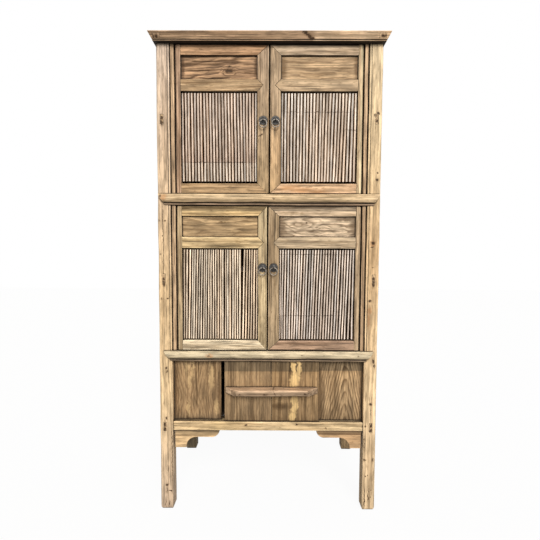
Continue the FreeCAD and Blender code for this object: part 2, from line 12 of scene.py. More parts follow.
import bmesh
import bpy
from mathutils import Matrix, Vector, noise

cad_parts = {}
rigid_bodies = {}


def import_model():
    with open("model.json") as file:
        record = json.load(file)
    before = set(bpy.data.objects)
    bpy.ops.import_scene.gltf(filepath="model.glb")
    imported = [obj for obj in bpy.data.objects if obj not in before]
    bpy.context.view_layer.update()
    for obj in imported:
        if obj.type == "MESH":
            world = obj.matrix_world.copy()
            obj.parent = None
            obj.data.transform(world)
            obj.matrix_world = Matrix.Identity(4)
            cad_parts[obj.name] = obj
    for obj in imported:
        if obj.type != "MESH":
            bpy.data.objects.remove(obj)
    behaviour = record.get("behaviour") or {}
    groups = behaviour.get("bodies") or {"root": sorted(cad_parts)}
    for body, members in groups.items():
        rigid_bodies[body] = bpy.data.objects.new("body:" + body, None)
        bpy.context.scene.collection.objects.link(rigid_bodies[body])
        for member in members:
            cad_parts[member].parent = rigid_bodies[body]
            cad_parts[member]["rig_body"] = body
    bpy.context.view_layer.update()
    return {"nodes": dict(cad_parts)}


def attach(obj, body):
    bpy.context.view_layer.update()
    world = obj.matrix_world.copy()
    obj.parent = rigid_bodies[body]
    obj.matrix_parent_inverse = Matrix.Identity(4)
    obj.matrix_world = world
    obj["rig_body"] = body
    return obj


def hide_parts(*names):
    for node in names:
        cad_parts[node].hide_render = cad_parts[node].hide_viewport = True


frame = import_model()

body_of = {name: solid["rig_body"] for name, solid in frame["nodes"].items()}
bpy.ops.object.select_all(action="DESELECT")

# %% [markdown]
# ## Camera
# The photographer stood close, at chest height, with a wide lens, and tilted the camera a little downwards.
# A wide lens from near by makes the low store look shorter than the doors, so the distance matters as much as
# the angle. The tilt and the slight roll were found by laying the cabinet's straight lines over the photograph.

# %% Set up the camera
CAMERA_PLACE = (0.0123, -1.6754, 1.0393)
TILT_DOWN, ROLL, TURN = 3.268, -0.237, 0.28
camera_data = bpy.data.cameras.new("camera")
camera_data.lens = 25.0
camera_data.sensor_width = 36.0
camera = bpy.data.objects.new("camera", camera_data)
camera.location = CAMERA_PLACE
camera.rotation_euler = [math.radians(angle) for angle in (90 - TILT_DOWN, ROLL, TURN)]
bpy.context.scene.collection.objects.link(camera)
bpy.context.scene.camera = camera
bpy.context.scene.view_settings.view_transform = "Standard"
print("camera", round(camera_data.lens), "mm lens at", tuple(camera.location))

# %% [markdown]
# ## Light
# One broad lamp hangs in front, a little to the right and not much above the cabinet's top, so that the top casts
# only a short shadow on the doors. It is wide, so its shadows have soft edges, and its strength is set so that a
# colour renders as written. The world adds an even glow, and only the camera, mirrors and glass see it as pure white.

# %% Hang the lamp
LAMP_RISE = math.radians(34)
LAMP_SIDE = math.radians(12)
LAMP_AWAY = 3.0
lamp = bpy.data.lights.new("broad_lamp", "SUN")
lamp.energy = 2.75
lamp.angle = math.radians(30)
lamp.color = (1.0, 0.98, 0.95)
holder = bpy.data.objects.new("broad_lamp", lamp)
level = math.cos(LAMP_RISE)
falls = Vector((-math.sin(LAMP_SIDE) * level, math.cos(LAMP_SIDE) * level, -math.sin(LAMP_RISE)))
holder.rotation_euler = falls.to_track_quat("-Z", "Y").to_euler()
holder.location = -LAMP_AWAY * falls
bpy.context.scene.collection.objects.link(holder)
print("lamp falls along", [round(v, 2) for v in falls])


# %% Short ways to add a shader node
def shade(tree, kind, links=(), values=(), **settings):
    made = tree.nodes.new("ShaderNode" + kind)
    for name, value in settings.items():
        setattr(made, name, value)
    for socket, value in dict(values).items():
        made.inputs[socket].default_value = value
    for socket, source in dict(links).items():
        tree.links.new(source, made.inputs[socket])
    return made


def calc(tree, operation, *terms, kind="Math"):
    """Result of a sum. Each term is a node's output or a plain value."""
    links = {n: term for n, term in enumerate(terms) if isinstance(term, bpy.types.NodeSocket)}
    values = {n: term for n, term in enumerate(terms) if n not in links}
    return shade(tree, kind, links, values, operation=operation).outputs[0]


def vector(tree, operation, *terms):
    return calc(tree, operation, *terms, kind="VectorMath")


def length(tree, arrow):
    return shade(tree, "VectorMath", {0: arrow}, operation="LENGTH").outputs["Value"]


def remap(tree, value, low, high, first=0.0, last=1.0, **settings):
    limits = {"From Min": low, "From Max": high, "To Min": first, "To Max": last}
    return shade(tree, "MapRange", {"Value": value}, limits, **settings).outputs[0]


def new_paint(name):
    paint = bpy.data.materials.new(name)
    paint.use_nodes = True
    paint.node_tree.nodes.clear()
    return paint


def seen_directly(tree):
    path = shade(tree, "LightPath").outputs
    either = calc(tree, "MAXIMUM", path["Is Camera Ray"], path["Is Glossy Ray"])
    return calc(tree, "MAXIMUM", either, path["Is Transmission Ray"])


# %% Light the world
world = bpy.data.worlds.new("studio")
bpy.context.scene.world = world
world.use_nodes = True
sky = world.node_tree
sky.nodes.clear()
glow = shade(sky, "Background", values={"Color": (1.0, 0.99, 0.97, 1), "Strength": 0.42})
white = shade(sky, "Background", values={"Color": (1, 1, 1, 1), "Strength": 1.0})
either = shade(sky, "MixShader", {0: seen_directly(sky), 1: glow.outputs[0], 2: white.outputs[0]})
shade(sky, "OutputWorld", {0: either.outputs[0]})
print("world lit")

# %% [markdown]
# ## Floor
# The floor is a plain white sheet. What the camera sees of it is mostly its own even white with a share of matt
# paint, so that a faint shadow stays under the legs and the cabinet stands on something. To the cabinet it is a
# grey sheet.

# %% Lay the floor
FLOOR_SIZE = 16
EVEN_WHITE = 0.94
bpy.ops.mesh.primitive_plane_add(size=FLOOR_SIZE, location=(0, 0, 0))
floor = bpy.context.active_object
floor.name = "floor"
floor_paint = new_paint("white_floor")
tree = floor_paint.node_tree
grey_sheet = shade(tree, "BsdfDiffuse", values={"Color": (0.45, 0.44, 0.42, 1)})
matt = shade(tree, "BsdfDiffuse", values={"Color": (0.9, 0.9, 0.9, 1)})
bright = shade(tree, "Emission", values={"Color": (1, 1, 1, 1), "Strength": 1.0})
shown = shade(tree, "MixShader", {1: matt.outputs[0], 2: bright.outputs[0]}, {0: EVEN_WHITE})
floor_mix = shade(tree, "MixShader", {0: seen_directly(tree), 1: grey_sheet.outputs[0], 2: shown.outputs[0]})
shade(tree, "OutputMaterial", {0: floor_mix.outputs[0]})
floor.data.materials.append(floor_paint)
print("floor laid")

# %% [markdown]
# ## Old pine
# Weathered pine shows its late wood as dark wavy lines, with long soft streaks, grey patches where it dried out,
# fine cracks and knots. Dirt and painted shade darken its corners and joints, and painted shade its undersides.
# A board's lines are the contours of the log's layers, so they are made as the contour lines of a soft cloud that is
# drawn out along the grain. They then run on round the edges as real grain does. One recipe serves every piece: its
# tone, the way it was sawn and its knots make the difference.

# %% The pine recipe: grain
GRAIN_TURN = {"Z": (0, 0, 0), "X": (0, -math.pi / 2, 0), "Y": (math.pi / 2, 0, 0)}
QUARTER_SAWN = dict(spread=24.0, stretch=0.03, lines=7.0, swirl=0.002)
FLAT_SAWN = dict(spread=10.0, stretch=0.09, lines=16.0, swirl=0.008)
ARCHED = dict(spread=14.0, stretch=0.05, lines=4.0, swirl=0.004)
SWIRLS = (14, 14, 5)
FAINT = ((30, 30, 6), 2.0, 0.2, 0.5)
SMOOTH = dict(interpolation_type="SMOOTHSTEP")


def cloud(tree, space, scale, detail, low, high):
    drawn = vector(tree, "MULTIPLY", space, scale)
    soft = shade(tree, "TexNoise", {"Vector": drawn}, {"Scale": 1.0, "Detail": detail, "Roughness": 0.6})
    return remap(tree, soft.outputs["Fac"], low, high, **SMOOTH)


def grain_space(tree, place, grain, swirl, seed):
    """Coordinates whose third axis runs along the grain, pushed about so that no line is straight."""
    moved = (seed, seed * 0.7, seed * 1.9)
    turned = shade(tree, "Mapping", {0: place}, {"Location": moved, "Rotation": GRAIN_TURN[grain]}).outputs[0]
    slow = vector(tree, "MULTIPLY", turned, SWIRLS)
    push = shade(tree, "TexNoise", {"Vector": slow}, {"Scale": 1.0, "Detail": 2.0}).outputs["Color"]
    offset = vector(tree, "MULTIPLY_ADD", push, (4 * swirl, 4 * swirl, 0), (-2 * swirl, -2 * swirl, 0))
    return vector(tree, "ADD", turned, offset)


def late_wood(tree, along, hills, spread, stretch, lines):
    """Contour lines of a drawn-out cloud, with extra hills that the lines run round."""
    drawn = vector(tree, "MULTIPLY", along, (spread, spread, spread * stretch))
    soft = shade(tree, "TexNoise", {"Vector": drawn}, {"Scale": 1.0, "Detail": 2.0, "Roughness": 0.45})
    level = calc(tree, "MULTIPLY_ADD", soft.outputs["Fac"], lines, hills)
    late = shade(tree, "ValToRGB", {0: calc(tree, "FRACT", level)})
    steps = late.color_ramp.elements
    steps[0].position, steps[0].color = 0.3, (0, 0, 0, 1)
    steps[1].position, steps[1].color = 0.85, (1, 1, 1, 1)
    steps.new(1.0).color = (0, 0, 0, 1)
    return calc(tree, "MULTIPLY", late.outputs[0], cloud(tree, along, *FAINT))


# %% The pine recipe: knots and stains by place
# How fine and how far a place is pushed about
RAGGED, TORN, LOW_BEND, TALL_BEND = (110.0, 0.012), (55.0, 0.034), (25.0, 0.016), (14.0, 0.01)
HILL_REACH, HILL_RISE = 3.2, 3.0
ARCH_ROUND = 1.2


def spots(tree, place, rows):
    """Distance to the nearest of many ovals seen from the front, 1 at an oval's edge."""
    nearest = None
    for x, z, wide, high in rows:
        away = vector(tree, "SUBTRACT", place, (x, 0, z))
        far = length(tree, vector(tree, "MULTIPLY", away, (1 / wide, 0, 1 / high)))
        nearest = far if nearest is None else calc(tree, "MINIMUM", nearest, far)
    return nearest


def wobbled(tree, place, scale, amount):
    push = shade(tree, "TexNoise", {"Vector": place}, {"Scale": scale, "Detail": 2.0}).outputs["Color"]
    offset = vector(tree, "MULTIPLY_ADD", push, (amount,) * 3, (-amount / 2,) * 3)
    return vector(tree, "ADD", place, offset)


def inside(tree, distance, start, end, most=1.0):
    return remap(tree, distance, start, end, most, 0.0, **SMOOTH)


def blend_in(tree, below, colour, amount, share=1.0):
    """Lay a colour over what is below, where amount says so. Both may be plain colours or come from a node."""
    links, values = {0: calc(tree, "MULTIPLY", amount, share)}, {}
    for socket, source in ((6, below), (7, colour)):
        if isinstance(source, tuple):
            values[socket] = source + (1,)
        else:
            links[socket] = source
    return shade(tree, "Mix", links, values, data_type="RGBA").outputs[2]


def low_hills(tree, place, rows):
    """Level that rises over each oval, so that the grain's lines run round it."""
    return inside(tree, spots(tree, wobbled(tree, place, *LOW_BEND), rows), 0.0, HILL_REACH, HILL_RISE)


def tall_arches(tree, place, x, z, across, rise):
    """Level whose contours are nested arches along an upright line, pointed towards the height z."""
    away = vector(tree, "SUBTRACT", wobbled(tree, place, *TALL_BEND), (x, 0, z))
    round_top = vector(tree, "MULTIPLY_ADD", away, (1 / across, 0, 0), (0, ARCH_ROUND, 0))
    height = calc(tree, "ABSOLUTE", shade(tree, "SeparateXYZ", {0: away}).outputs["Z"])
    return calc(tree, "MULTIPLY_ADD", height, -1 / rise, length(tree, round_top))


# %% The pine recipe: tones and dirt
BRIGHTEST = 0.95


def tone_along(tree, place, bands, axis):
    """Colour that changes along an axis: rows of (place on the axis, colour)."""
    lowest, highest = bands[0][0], bands[-1][0]
    spot = shade(tree, "SeparateXYZ", {0: place}).outputs[axis]
    ramp = shade(tree, "ValToRGB", {0: remap(tree, spot, lowest, highest)})
    steps = ramp.color_ramp.elements
    while len(steps) < len(bands):
        steps.new(0.5)
    for step, (where, _) in zip(steps, bands):
        step.position = (where - lowest) / (highest - lowest)
    for step, (_, colour) in zip(steps, bands):
        step.color = colour + (1,)
    return ramp.outputs[0]


def tinted(tone, factors):
    return tuple(min(part * factor, BRIGHTEST) for part, factor in zip(tone, factors))


def times(tree, tone, factors):
    return tinted(tone, factors) if isinstance(tone, tuple) else vector(tree, "MULTIPLY", tone, factors)


def hidden_corner(tree, reach, low, high):
    corner = shade(tree, "AmbientOcclusion", values={"Distance": reach}, samples=6)
    return remap(tree, corner.outputs["AO"], low, high, 1.0, 0.0)


def laid_over(tree, colour, layers):
    """Lay rows of (colour, where, share) over a colour, one after the other."""
    for layer in layers:
        colour = blend_in(tree, colour, *layer)
    return colour


# %% The pine recipe: all together
DIRT_AND_SHADE = (0.028, 0.019, 0.012)
SHADE_BELOW = (0.01, 0.007, 0.005)
KNOT = (0.07, 0.04, 0.022)
RED_PINE = (0.56, 0.3, 0.14)
PALE, LATE, GREYED = (1.14, 1.13, 1.12), (1.0, 0.86, 0.72), (0.58, 0.57, 0.58)
GLINT, RUBBED_AND_HIGHLIT = (1.3, 1.29, 1.26), (1.4, 1.42, 1.45)
# How far and how much corners and joints darken by how hidden they are: dirt and painted shade together
CORNER, CREVICE = (0.02, 0.2, 0.75), (0.006, 0.76, 0.975)
GRIT = (0.4, 1.6, 0.68, 1.27)
# Painted shade: faces that look down darken between these two downward slants of their normal
UNDERSIDE = (-0.6, -0.95)
# A cloud's scale across and along the grain, its detail, and the two values between which it comes up
CLOUDS = dict(
    fibre=((330, 330, 5), 3.0, 0.3, 0.7), streaks=((90, 90, 2.2), 4.0, 0.48, 0.61),
    glints=((120, 120, 3), 3.0, 0.53, 0.65), patches=((15, 15, 5), 5.0, 0.44, 0.68),
    mottle=((55, 55, 12), 4.0, 0.35, 0.65), cracks=((230, 230, 5), 2.0, 0.585, 0.65),
    pits=((170, 170, 38), 3.0, 0.57, 0.68))


def marked(tree, place, dark, marks, stains_and_shade, blush):
    """Layers for red patches, dark spots of stain and painted shade, and knots, all with ragged edges."""
    layers = []
    ragged = wobbled(tree, place, *RAGGED) if blush or stains_and_shade or marks else None
    if blush:
        layers.append((RED_PINE, inside(tree, spots(tree, ragged, blush), 0.3, 1.3), 0.85))
    if stains_and_shade:
        layers.append((dark, inside(tree, spots(tree, ragged, stains_and_shade), 0.3, 1.5), 0.85))
    if marks:
        near = spots(tree, ragged, marks)
        layers += [(dark, inside(tree, near, 0.8, 1.9), 0.6), (KNOT, inside(tree, near, 0.7, 1.1), 0.95)]
    return layers


def old_pine(name, tone, tone_axis="Z", grain="Z", cut=QUARTER_SAWN, vein=0.4, streak=0.4, fade=0.3, deep=0.4,
             crack=0.4, corner_dirt_and_shade=0.75, crevice_dirt_and_shade=0.95, shade_below=0.6, arches=(), tall=None, marks=(), stains_and_shade=(), blush=(),
             bare=(), bare_tone=None, bare_share=0.82, seed=1.0):
    """Old pine in one tone or in bands of tone. Most other values are shares: how much of each layer shows."""
    paint = new_paint(name)
    tree = paint.node_tree
    place = shade(tree, "TexCoord").outputs["Object"]
    along = grain_space(tree, place, grain, cut["swirl"], seed)
    base = tone_along(tree, place, tone, tone_axis) if isinstance(tone[0], tuple) else tone
    dark = times(tree, base, tuple(deep * part for part in LATE))
    hills = 0.0
    if arches:
        hills = low_hills(tree, place, arches)
    if tall:
        hills = tall_arches(tree, place, *tall)
    lines = late_wood(tree, along, hills, cut["spread"], cut["stretch"], cut["lines"])
    found = {kind: cloud(tree, along, *shape) for kind, shape in CLOUDS.items()}
    layers = [
        (dark, lines, vein), (dark, found["streaks"], streak), (times(tree, base, GLINT), found["glints"], streak),
        (times(tree, base, GREYED), found["patches"], fade), (DIRT_AND_SHADE, found["cracks"], crack),
        (dark, found["pits"], crack)]
    if bare:
        torn = spots(tree, wobbled(tree, place, *TORN), bare)
        layers.append((bare_tone, inside(tree, torn, 0.5, 1.25), bare_share))
    layers += marked(tree, place, dark, marks, stains_and_shade, blush)
    rubbed_and_highlit, track_dirt_and_shade = [shade(tree, "Attribute", attribute_name=kind).outputs["Fac"] for kind in ("rubbed_and_highlit", "track_dirt_and_shade")]
    layers.append((times(tree, base, RUBBED_AND_HIGHLIT), calc(tree, "MULTIPLY", rubbed_and_highlit, found["fibre"]), 0.7))
    layers.append((DIRT_AND_SHADE, track_dirt_and_shade, 0.95))
    colour = laid_over(tree, times(tree, base, PALE), layers)
    grit = remap(tree, calc(tree, "ADD", found["fibre"], found["mottle"]), *GRIT)
    colour = shade(tree, "VectorMath", {0: colour, "Scale": grit}, operation="SCALE").outputs[0]
    facing = shade(tree, "SeparateXYZ", {0: shade(tree, "NewGeometry").outputs["Normal"]}).outputs["Z"]
    # Dirt and painted shade in corners and joints, and painted shade on faces that look down
    colour = laid_over(tree, colour, [
        (DIRT_AND_SHADE, hidden_corner(tree, *CORNER), corner_dirt_and_shade), (DIRT_AND_SHADE, hidden_corner(tree, *CREVICE), crevice_dirt_and_shade),
        (SHADE_BELOW, remap(tree, facing, *UNDERSIDE), shade_below)])
    rough = remap(tree, found["streaks"], 0.0, 1.0, 0.66, 0.86)
    ridge = calc(tree, "MULTIPLY_ADD", found["cracks"], -3.0, found["fibre"])
    relief = calc(tree, "MULTIPLY_ADD", lines, -0.8, ridge)
    bump = shade(tree, "Bump", {"Height": relief}, {"Strength": 0.4, "Distance": 0.0008})
    pine = shade(tree, "BsdfPrincipled", {"Base Color": colour, "Roughness": rough, "Normal": bump.outputs[0]},
                 {"Specular IOR Level": 0.22})
    shade(tree, "OutputMaterial", {0: pine.outputs[0]})
    return paint


print("pine recipe ready")

# %% [markdown]
# ## Worn edges
# A hundred years of hands and brooms round every edge of a softwood cabinet. Each solid is copied, its loose
# triangles are merged, and its sharp edges are bevelled, which is how a joiner would ease them with a plane.
# The bevelled faces are noted as rubbed, and the pine is paler there: partly wear, partly a painted highlight.
# Long sticks were planed by hand, so they are sliced across and the slices are shifted by a millimetre or two.


# %% A worn copy of a solid
def start_edit(piece, mode="VERT"):
    bpy.ops.object.select_all(action="DESELECT")
    piece.select_set(True)
    bpy.context.view_layer.objects.active = piece
    bpy.ops.object.mode_set(mode="EDIT")
    bpy.ops.mesh.select_mode(type=mode)


def settle(piece, node, paint):
    """Give the finished piece its finish and its body, and hide the solid that it stands for."""
    piece.data.materials.clear()
    piece.data.materials.append(paint)
    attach(piece, body_of[node])
    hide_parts(node)


def merged_copy(node, name):
    piece = bpy.data.objects.new(name, frame["nodes"][node].data.copy())
    bpy.context.scene.collection.objects.link(piece)
    start_edit(piece)
    bpy.ops.mesh.select_all(action="SELECT")
    bpy.ops.mesh.remove_doubles(threshold=0.00002)
    bpy.ops.mesh.customdata_custom_splitnormals_clear()
    bpy.ops.mesh.dissolve_limited(angle_limit=math.radians(0.4))
    bpy.ops.object.mode_set(mode="OBJECT")
    return piece


# %% Hand planing, rounded feet and eased edges
TOUCH = 0.0005           # points nearer than this to a plane lie on it
WAVES = 11               # how fast the planing changes along a stick
SHARP = math.radians(38)
BROAD = 2.4              # least width of a face beside a bevel, in bevel widths
PLANING_SEED = 1
noise.seed_set(PLANING_SEED)


def hand_plane(piece, axis, step, amount, seed):
    """Slice a stick across its length and shift the slices a little, as a hand plane leaves them."""
    side = "XYZ".index(axis)
    across = Vector([float(side == n) for n in range(3)])
    low, high = [[pick(vertex.co[n] for vertex in piece.data.vertices) for n in range(3)] for pick in (min, max)]
    start, size = low[side], high[side] - low[side]
    count = round(size / step)
    start_edit(piece)
    for cut in range(1, count):
        bpy.ops.mesh.select_all(action="SELECT")
        bpy.ops.mesh.bisect(plane_co=across * (start + size * cut / count), plane_no=across)
    bpy.ops.object.mode_set(mode="OBJECT")
    for vertex in piece.data.vertices:
        if vertex.co.y > high[1] - TOUCH:
            continue
        shift = noise.noise_vector(vertex.co * WAVES + Vector((seed, seed, seed))) * amount
        shift[side] = 0
        vertex.co = [min(max(a + b, c), d) for a, b, c, d in zip(vertex.co, shift, low, high)]


def round_foot(piece, width):
    start_edit(piece, "EDGE")
    bpy.ops.mesh.select_all(action="DESELECT")
    shape = bmesh.from_edit_mesh(piece.data)
    for edge in shape.edges:
        edge.select = max(vertex.co.z for vertex in edge.verts) < TOUCH
    bmesh.update_edit_mesh(piece.data)
    bpy.ops.mesh.bevel(offset=width, segments=4, affect="EDGES", clamp_overlap=True)
    bpy.ops.object.mode_set(mode="OBJECT")


def can_wear(edge, width, least):
    """True for a long outer corner between two faces that are broad enough for a bevel."""
    if not edge.is_manifold or not edge.is_convex or edge.calc_length() < least or edge.calc_face_angle() < SHARP:
        return False
    longest = [max(side.calc_length() for side in face.edges) for face in edge.link_faces]
    return all(face.calc_area() > BROAD * width * long for face, long in zip(edge.link_faces, longest))


def ease_edges(piece, width, least=0.01, true_back=False):
    """Bevel the outer corners that are long enough. A true back stays sharp, where it closes a gap behind it."""
    back = max(vertex.co.y for vertex in piece.data.vertices)
    start_edit(piece, "EDGE")
    bpy.ops.mesh.select_all(action="DESELECT")
    shape = bmesh.from_edit_mesh(piece.data)
    for edge in shape.edges:
        behind = true_back and min(vertex.co.y for vertex in edge.verts) > back - TOUCH
        edge.select = can_wear(edge, width, least) and not behind
    bmesh.update_edit_mesh(piece.data)
    bpy.ops.mesh.bevel(offset=width, segments=2, affect="EDGES", clamp_overlap=False)
    bpy.ops.object.mode_set(mode="OBJECT")
    bpy.ops.object.shade_smooth_by_angle(angle=math.radians(20))
    # Bevel faces are marked for a paler pine: wear and a painted highlight
    rubbed_and_highlit = piece.data.attributes.new("rubbed_and_highlit", "FLOAT", "FACE")
    for face in piece.data.polygons:
        ring = [piece.data.vertices[index].co for index in face.vertices]
        longest = max((a - b).length for a, b in zip(ring, ring[1:] + ring[:1]))
        rubbed_and_highlit.data[face.index].value = float(face.area < longest * width)


def worn(node, paint, width, planed=None, foot=0.0, least=0.01, true_back=False):
    piece = merged_copy(node, node + "_worn")
    if foot:
        round_foot(piece, foot)
    ease_edges(piece, width, least, true_back)
    if planed:
        hand_plane(piece, **planed)
    settle(piece, node, paint)
    return piece


def darken_tracks(piece, front):
    """Mark the upward faces behind the front line, where the track is darkened with dirt and painted shade."""
    track_dirt_and_shade = piece.data.attributes.new("track_dirt_and_shade", "FLOAT", "FACE")
    for face in piece.data.polygons:
        track_dirt_and_shade.data[face.index].value = float(face.normal.z > 0.5 and face.center.y > front)


print("edge tools ready")

# %% [markdown]
# ## Posts
# The posts are the palest wood, a dry honey pine with thin drying cracks. Dark marks show where the side rails'
# tenons come through, and small knots sit between them. Their places were read off the photograph.
# Their feet are rounded, as the feet of all furniture that was dragged over stone floors.
# A mark is an oval on the front: its place across and up, then half its width and half its height.

# %% Finish the posts
POST_EDGE = 0.0022
FOOT_ROUNDING = 0.012
left_tenons = [
    (-0.4045, 1.528, 0.005, 0.007), (-0.4045, 1.511, 0.006, 0.01), (-0.4038, 0.921, 0.006, 0.006),
    (-0.403, 0.903, 0.006, 0.012), (-0.4065, 0.345, 0.005, 0.007), (-0.4065, 0.327, 0.005, 0.009)]
left_knots = [
    (-0.4145, 0.845, 0.0035, 0.005), (-0.3887, 0.845, 0.0035, 0.0038), (-0.4205, 1.144, 0.004, 0.004),
    (-0.397, 1.144, 0.0035, 0.0035), (-0.4153, 1.016, 0.0024, 0.0034), (-0.3972, 0.572, 0.0035, 0.0045),
    (-0.3954, 0.5586, 0.0035, 0.0045), (-0.3989, 0.372, 0.0045, 0.006), (-0.3985, 0.101, 0.0055, 0.006)]
left_cracks = [
    (-0.4045, 1.03, 0.0008, 0.21), (-0.3787, 0.262, 0.001, 0.11), (-0.3779, 0.214, 0.0016, 0.1),
    (-0.3995, 0.082, 0.002, 0.014), (-0.387, 0.0765, 0.0075, 0.0018), (-0.3955, 0.167, 0.0014, 0.018),
    (-0.406, 0.026, 0.0014, 0.018), (-0.3915, 0.022, 0.0014, 0.014)]
right_tenons = [
    (0.3963, 1.54, 0.0042, 0.006), (0.4097, 1.546, 0.0042, 0.0055), (0.4043, 1.5196, 0.005, 0.006),
    (0.403, 0.926, 0.005, 0.006), (0.403, 0.905, 0.005, 0.013), (0.4048, 0.347, 0.005, 0.008),
    (0.4048, 0.326, 0.005, 0.008)]
right_knots = [
    (0.4104, 1.326, 0.002, 0.0035), (0.4109, 1.3, 0.0055, 0.006), (0.3978, 1.0614, 0.0072, 0.006),
    (0.3965, 1.0465, 0.006, 0.0028), (0.3981, 0.968, 0.002, 0.002), (0.3901, 0.8385, 0.006, 0.005),
    (0.4087, 0.602, 0.005, 0.0075), (0.4137, 0.584, 0.0035, 0.0075), (0.4022, 0.4318, 0.0055, 0.006),
    (0.3823, 0.343, 0.0035, 0.0035), (0.381, 0.2066, 0.006, 0.005), (0.416, 0.2067, 0.0045, 0.007)]
right_cracks = [
    (0.4028, 0.399, 0.001, 0.018), (0.3987, 0.069, 0.0018, 0.036), (0.3843, 0.055, 0.0018, 0.04),
    (0.4099, 0.083, 0.0022, 0.0026), (0.4065, 0.054, 0.0022, 0.0026), (0.3953, 0.144, 0.002, 0.0024),
    (0.3859, 0.141, 0.002, 0.0024), (0.379, 0.272, 0.0014, 0.032)]
right_blush = [(0.389, 0.8, 0.012, 0.016), (0.387, 0.765, 0.006, 0.036), (0.398, 1.059, 0.011, 0.013)]
left_tone = [
    (0.0, (0.58, 0.435, 0.31)), (0.45, (0.69, 0.505, 0.295)), (0.9, (0.7, 0.5, 0.285)),
    (1.3, (0.7, 0.515, 0.34)), (1.83, (0.63, 0.49, 0.38))]
right_tone = [
    (0.0, (0.6, 0.445, 0.275)), (0.5, (0.76, 0.56, 0.335)), (1.0, (0.74, 0.505, 0.277)),
    (1.4, (0.74, 0.555, 0.33)), (1.83, (0.75, 0.585, 0.37))]
post_left = old_pine(
    "post_pine_left", left_tone, vein=0.35, streak=0.22, fade=0.13, crevice_dirt_and_shade=0.8,
    marks=left_tenons + left_knots + left_cracks, seed=1.3)
post_right = old_pine(
    "post_pine_right", right_tone, vein=0.34, streak=0.2, fade=0.12, crevice_dirt_and_shade=0.8,
    marks=right_tenons + right_knots + right_cracks, blush=right_blush, seed=4.1)
rear_left = old_pine("post_pine_rear_left", (0.22, 0.175, 0.11), vein=0.5, streak=0.5, seed=6.2)
rear_right = old_pine("post_pine_rear_right", (0.33, 0.23, 0.125), vein=0.5, streak=0.5, seed=6.9)
for node, paint, seed in (("post_front_left", post_left, 1), ("post_front_right", post_right, 2),
                          ("post_rear_left", rear_left, 3), ("post_rear_right", rear_right, 4)):
    worn(node, paint, POST_EDGE, dict(axis="Z", step=0.06, amount=0.0016, seed=seed), FOOT_ROUNDING)
print("4 posts")

# %% [markdown]
# ## Top frame and front rails
# The top frame's front carries a moulding that catches dust, so it is browner than the posts, and its tone changes
# along its length. The two half-round rails are rubbed pale by hands that opened the doors. The end grain of the
# top's tenons shows as dark ovals at both corners. The brackets darken towards the bottom rail that shades them.

# %% Finish the top frame
THIN_EDGE = 0.001
top_stain = [
    (0.124, 1.827, 0.005, 0.003), (0.131, 1.822, 0.007, 0.004), (0.139, 1.817, 0.008, 0.004),
    (0.147, 1.812, 0.009, 0.004), (0.156, 1.807, 0.01, 0.004)]
top_tone = [
    (-0.444, (0.42, 0.285, 0.18)), (-0.33, (0.54, 0.365, 0.225)), (-0.2, (0.6, 0.4, 0.245)),
    (0.0, (0.5, 0.335, 0.205)), (0.155, (0.54, 0.365, 0.23)), (0.175, (0.88, 0.64, 0.42)),
    (0.27, (0.82, 0.585, 0.375)), (0.36, (0.95, 0.69, 0.45)), (0.444, (0.88, 0.61, 0.37))]
top_side_tone = [
    (-0.444, (0.44, 0.3, 0.19)), (-0.38, (0.5, 0.34, 0.21)), (0.38, (0.8, 0.57, 0.36)),
    (0.444, (0.86, 0.61, 0.38))]
# The moulding's underside is painted near black as shade
top_pine = old_pine(
    "top_pine", top_tone, tone_axis="X", grain="X", vein=0.75, streak=0.65, fade=0.35, shade_below=0.97, marks=top_stain,
    stains_and_shade=top_stain, seed=2.2)
top_side_pine = old_pine(
    "top_side_pine", top_side_tone, tone_axis="X", grain="Y", vein=0.5, streak=0.45, fade=0.4,
    stains_and_shade=[(-0.421, 1.813, 0.013, 0.006), (0.421, 1.814, 0.013, 0.005)],
    marks=[(-0.427, 1.812, 0.006, 0.004), (-0.413, 1.812, 0.005, 0.005), (0.414, 1.8135, 0.005, 0.004),
        (0.427, 1.814, 0.006, 0.003)],
    seed=2.9)
worn("top_front_rail", top_pine, THIN_EDGE, least=0.1)
worn("top_rear_rail", top_pine, THIN_EDGE)
worn("top_left_rail", top_side_pine, THIN_EDGE)
worn("top_right_rail", top_side_pine, THIN_EDGE)
print("top frame")

# %% Finish the front rails
BOTTOM_EDGE = 0.002
TRACK_FRONT = -0.212
# Each rail's lowest band, on the bead under it, is painted shade
mid_tone = [
    (1.203, (0.28, 0.19, 0.12)), (1.2125, (0.28, 0.19, 0.12)), (1.2135, (0.7, 0.52, 0.315)),
    (1.246, (0.71, 0.53, 0.32))]
low_tone = [
    (0.601, (0.24, 0.17, 0.11)), (0.61, (0.24, 0.17, 0.11)), (0.611, (0.62, 0.515, 0.345)),
    (0.641, (0.64, 0.535, 0.36))]
bottom_tone = [
    (-0.37, (0.83, 0.61, 0.345)), (-0.25, (0.77, 0.56, 0.31)), (-0.2, (0.64, 0.465, 0.245)),
    (-0.09, (0.6, 0.435, 0.24)), (0.02, (0.77, 0.58, 0.345)), (0.13, (0.66, 0.485, 0.275)),
    (0.37, (0.72, 0.54, 0.315))]
mid_pine = old_pine(
    "mid_rail_pine", mid_tone, grain="X", vein=0.45, streak=0.4, fade=0.35, shade_below=0.9,
    blush=[(-0.4, 1.232, 0.016, 0.014)], marks=[(0.018, 1.228, 0.003, 0.003), (-0.411, 1.236, 0.003, 0.005)],
    seed=3.4)
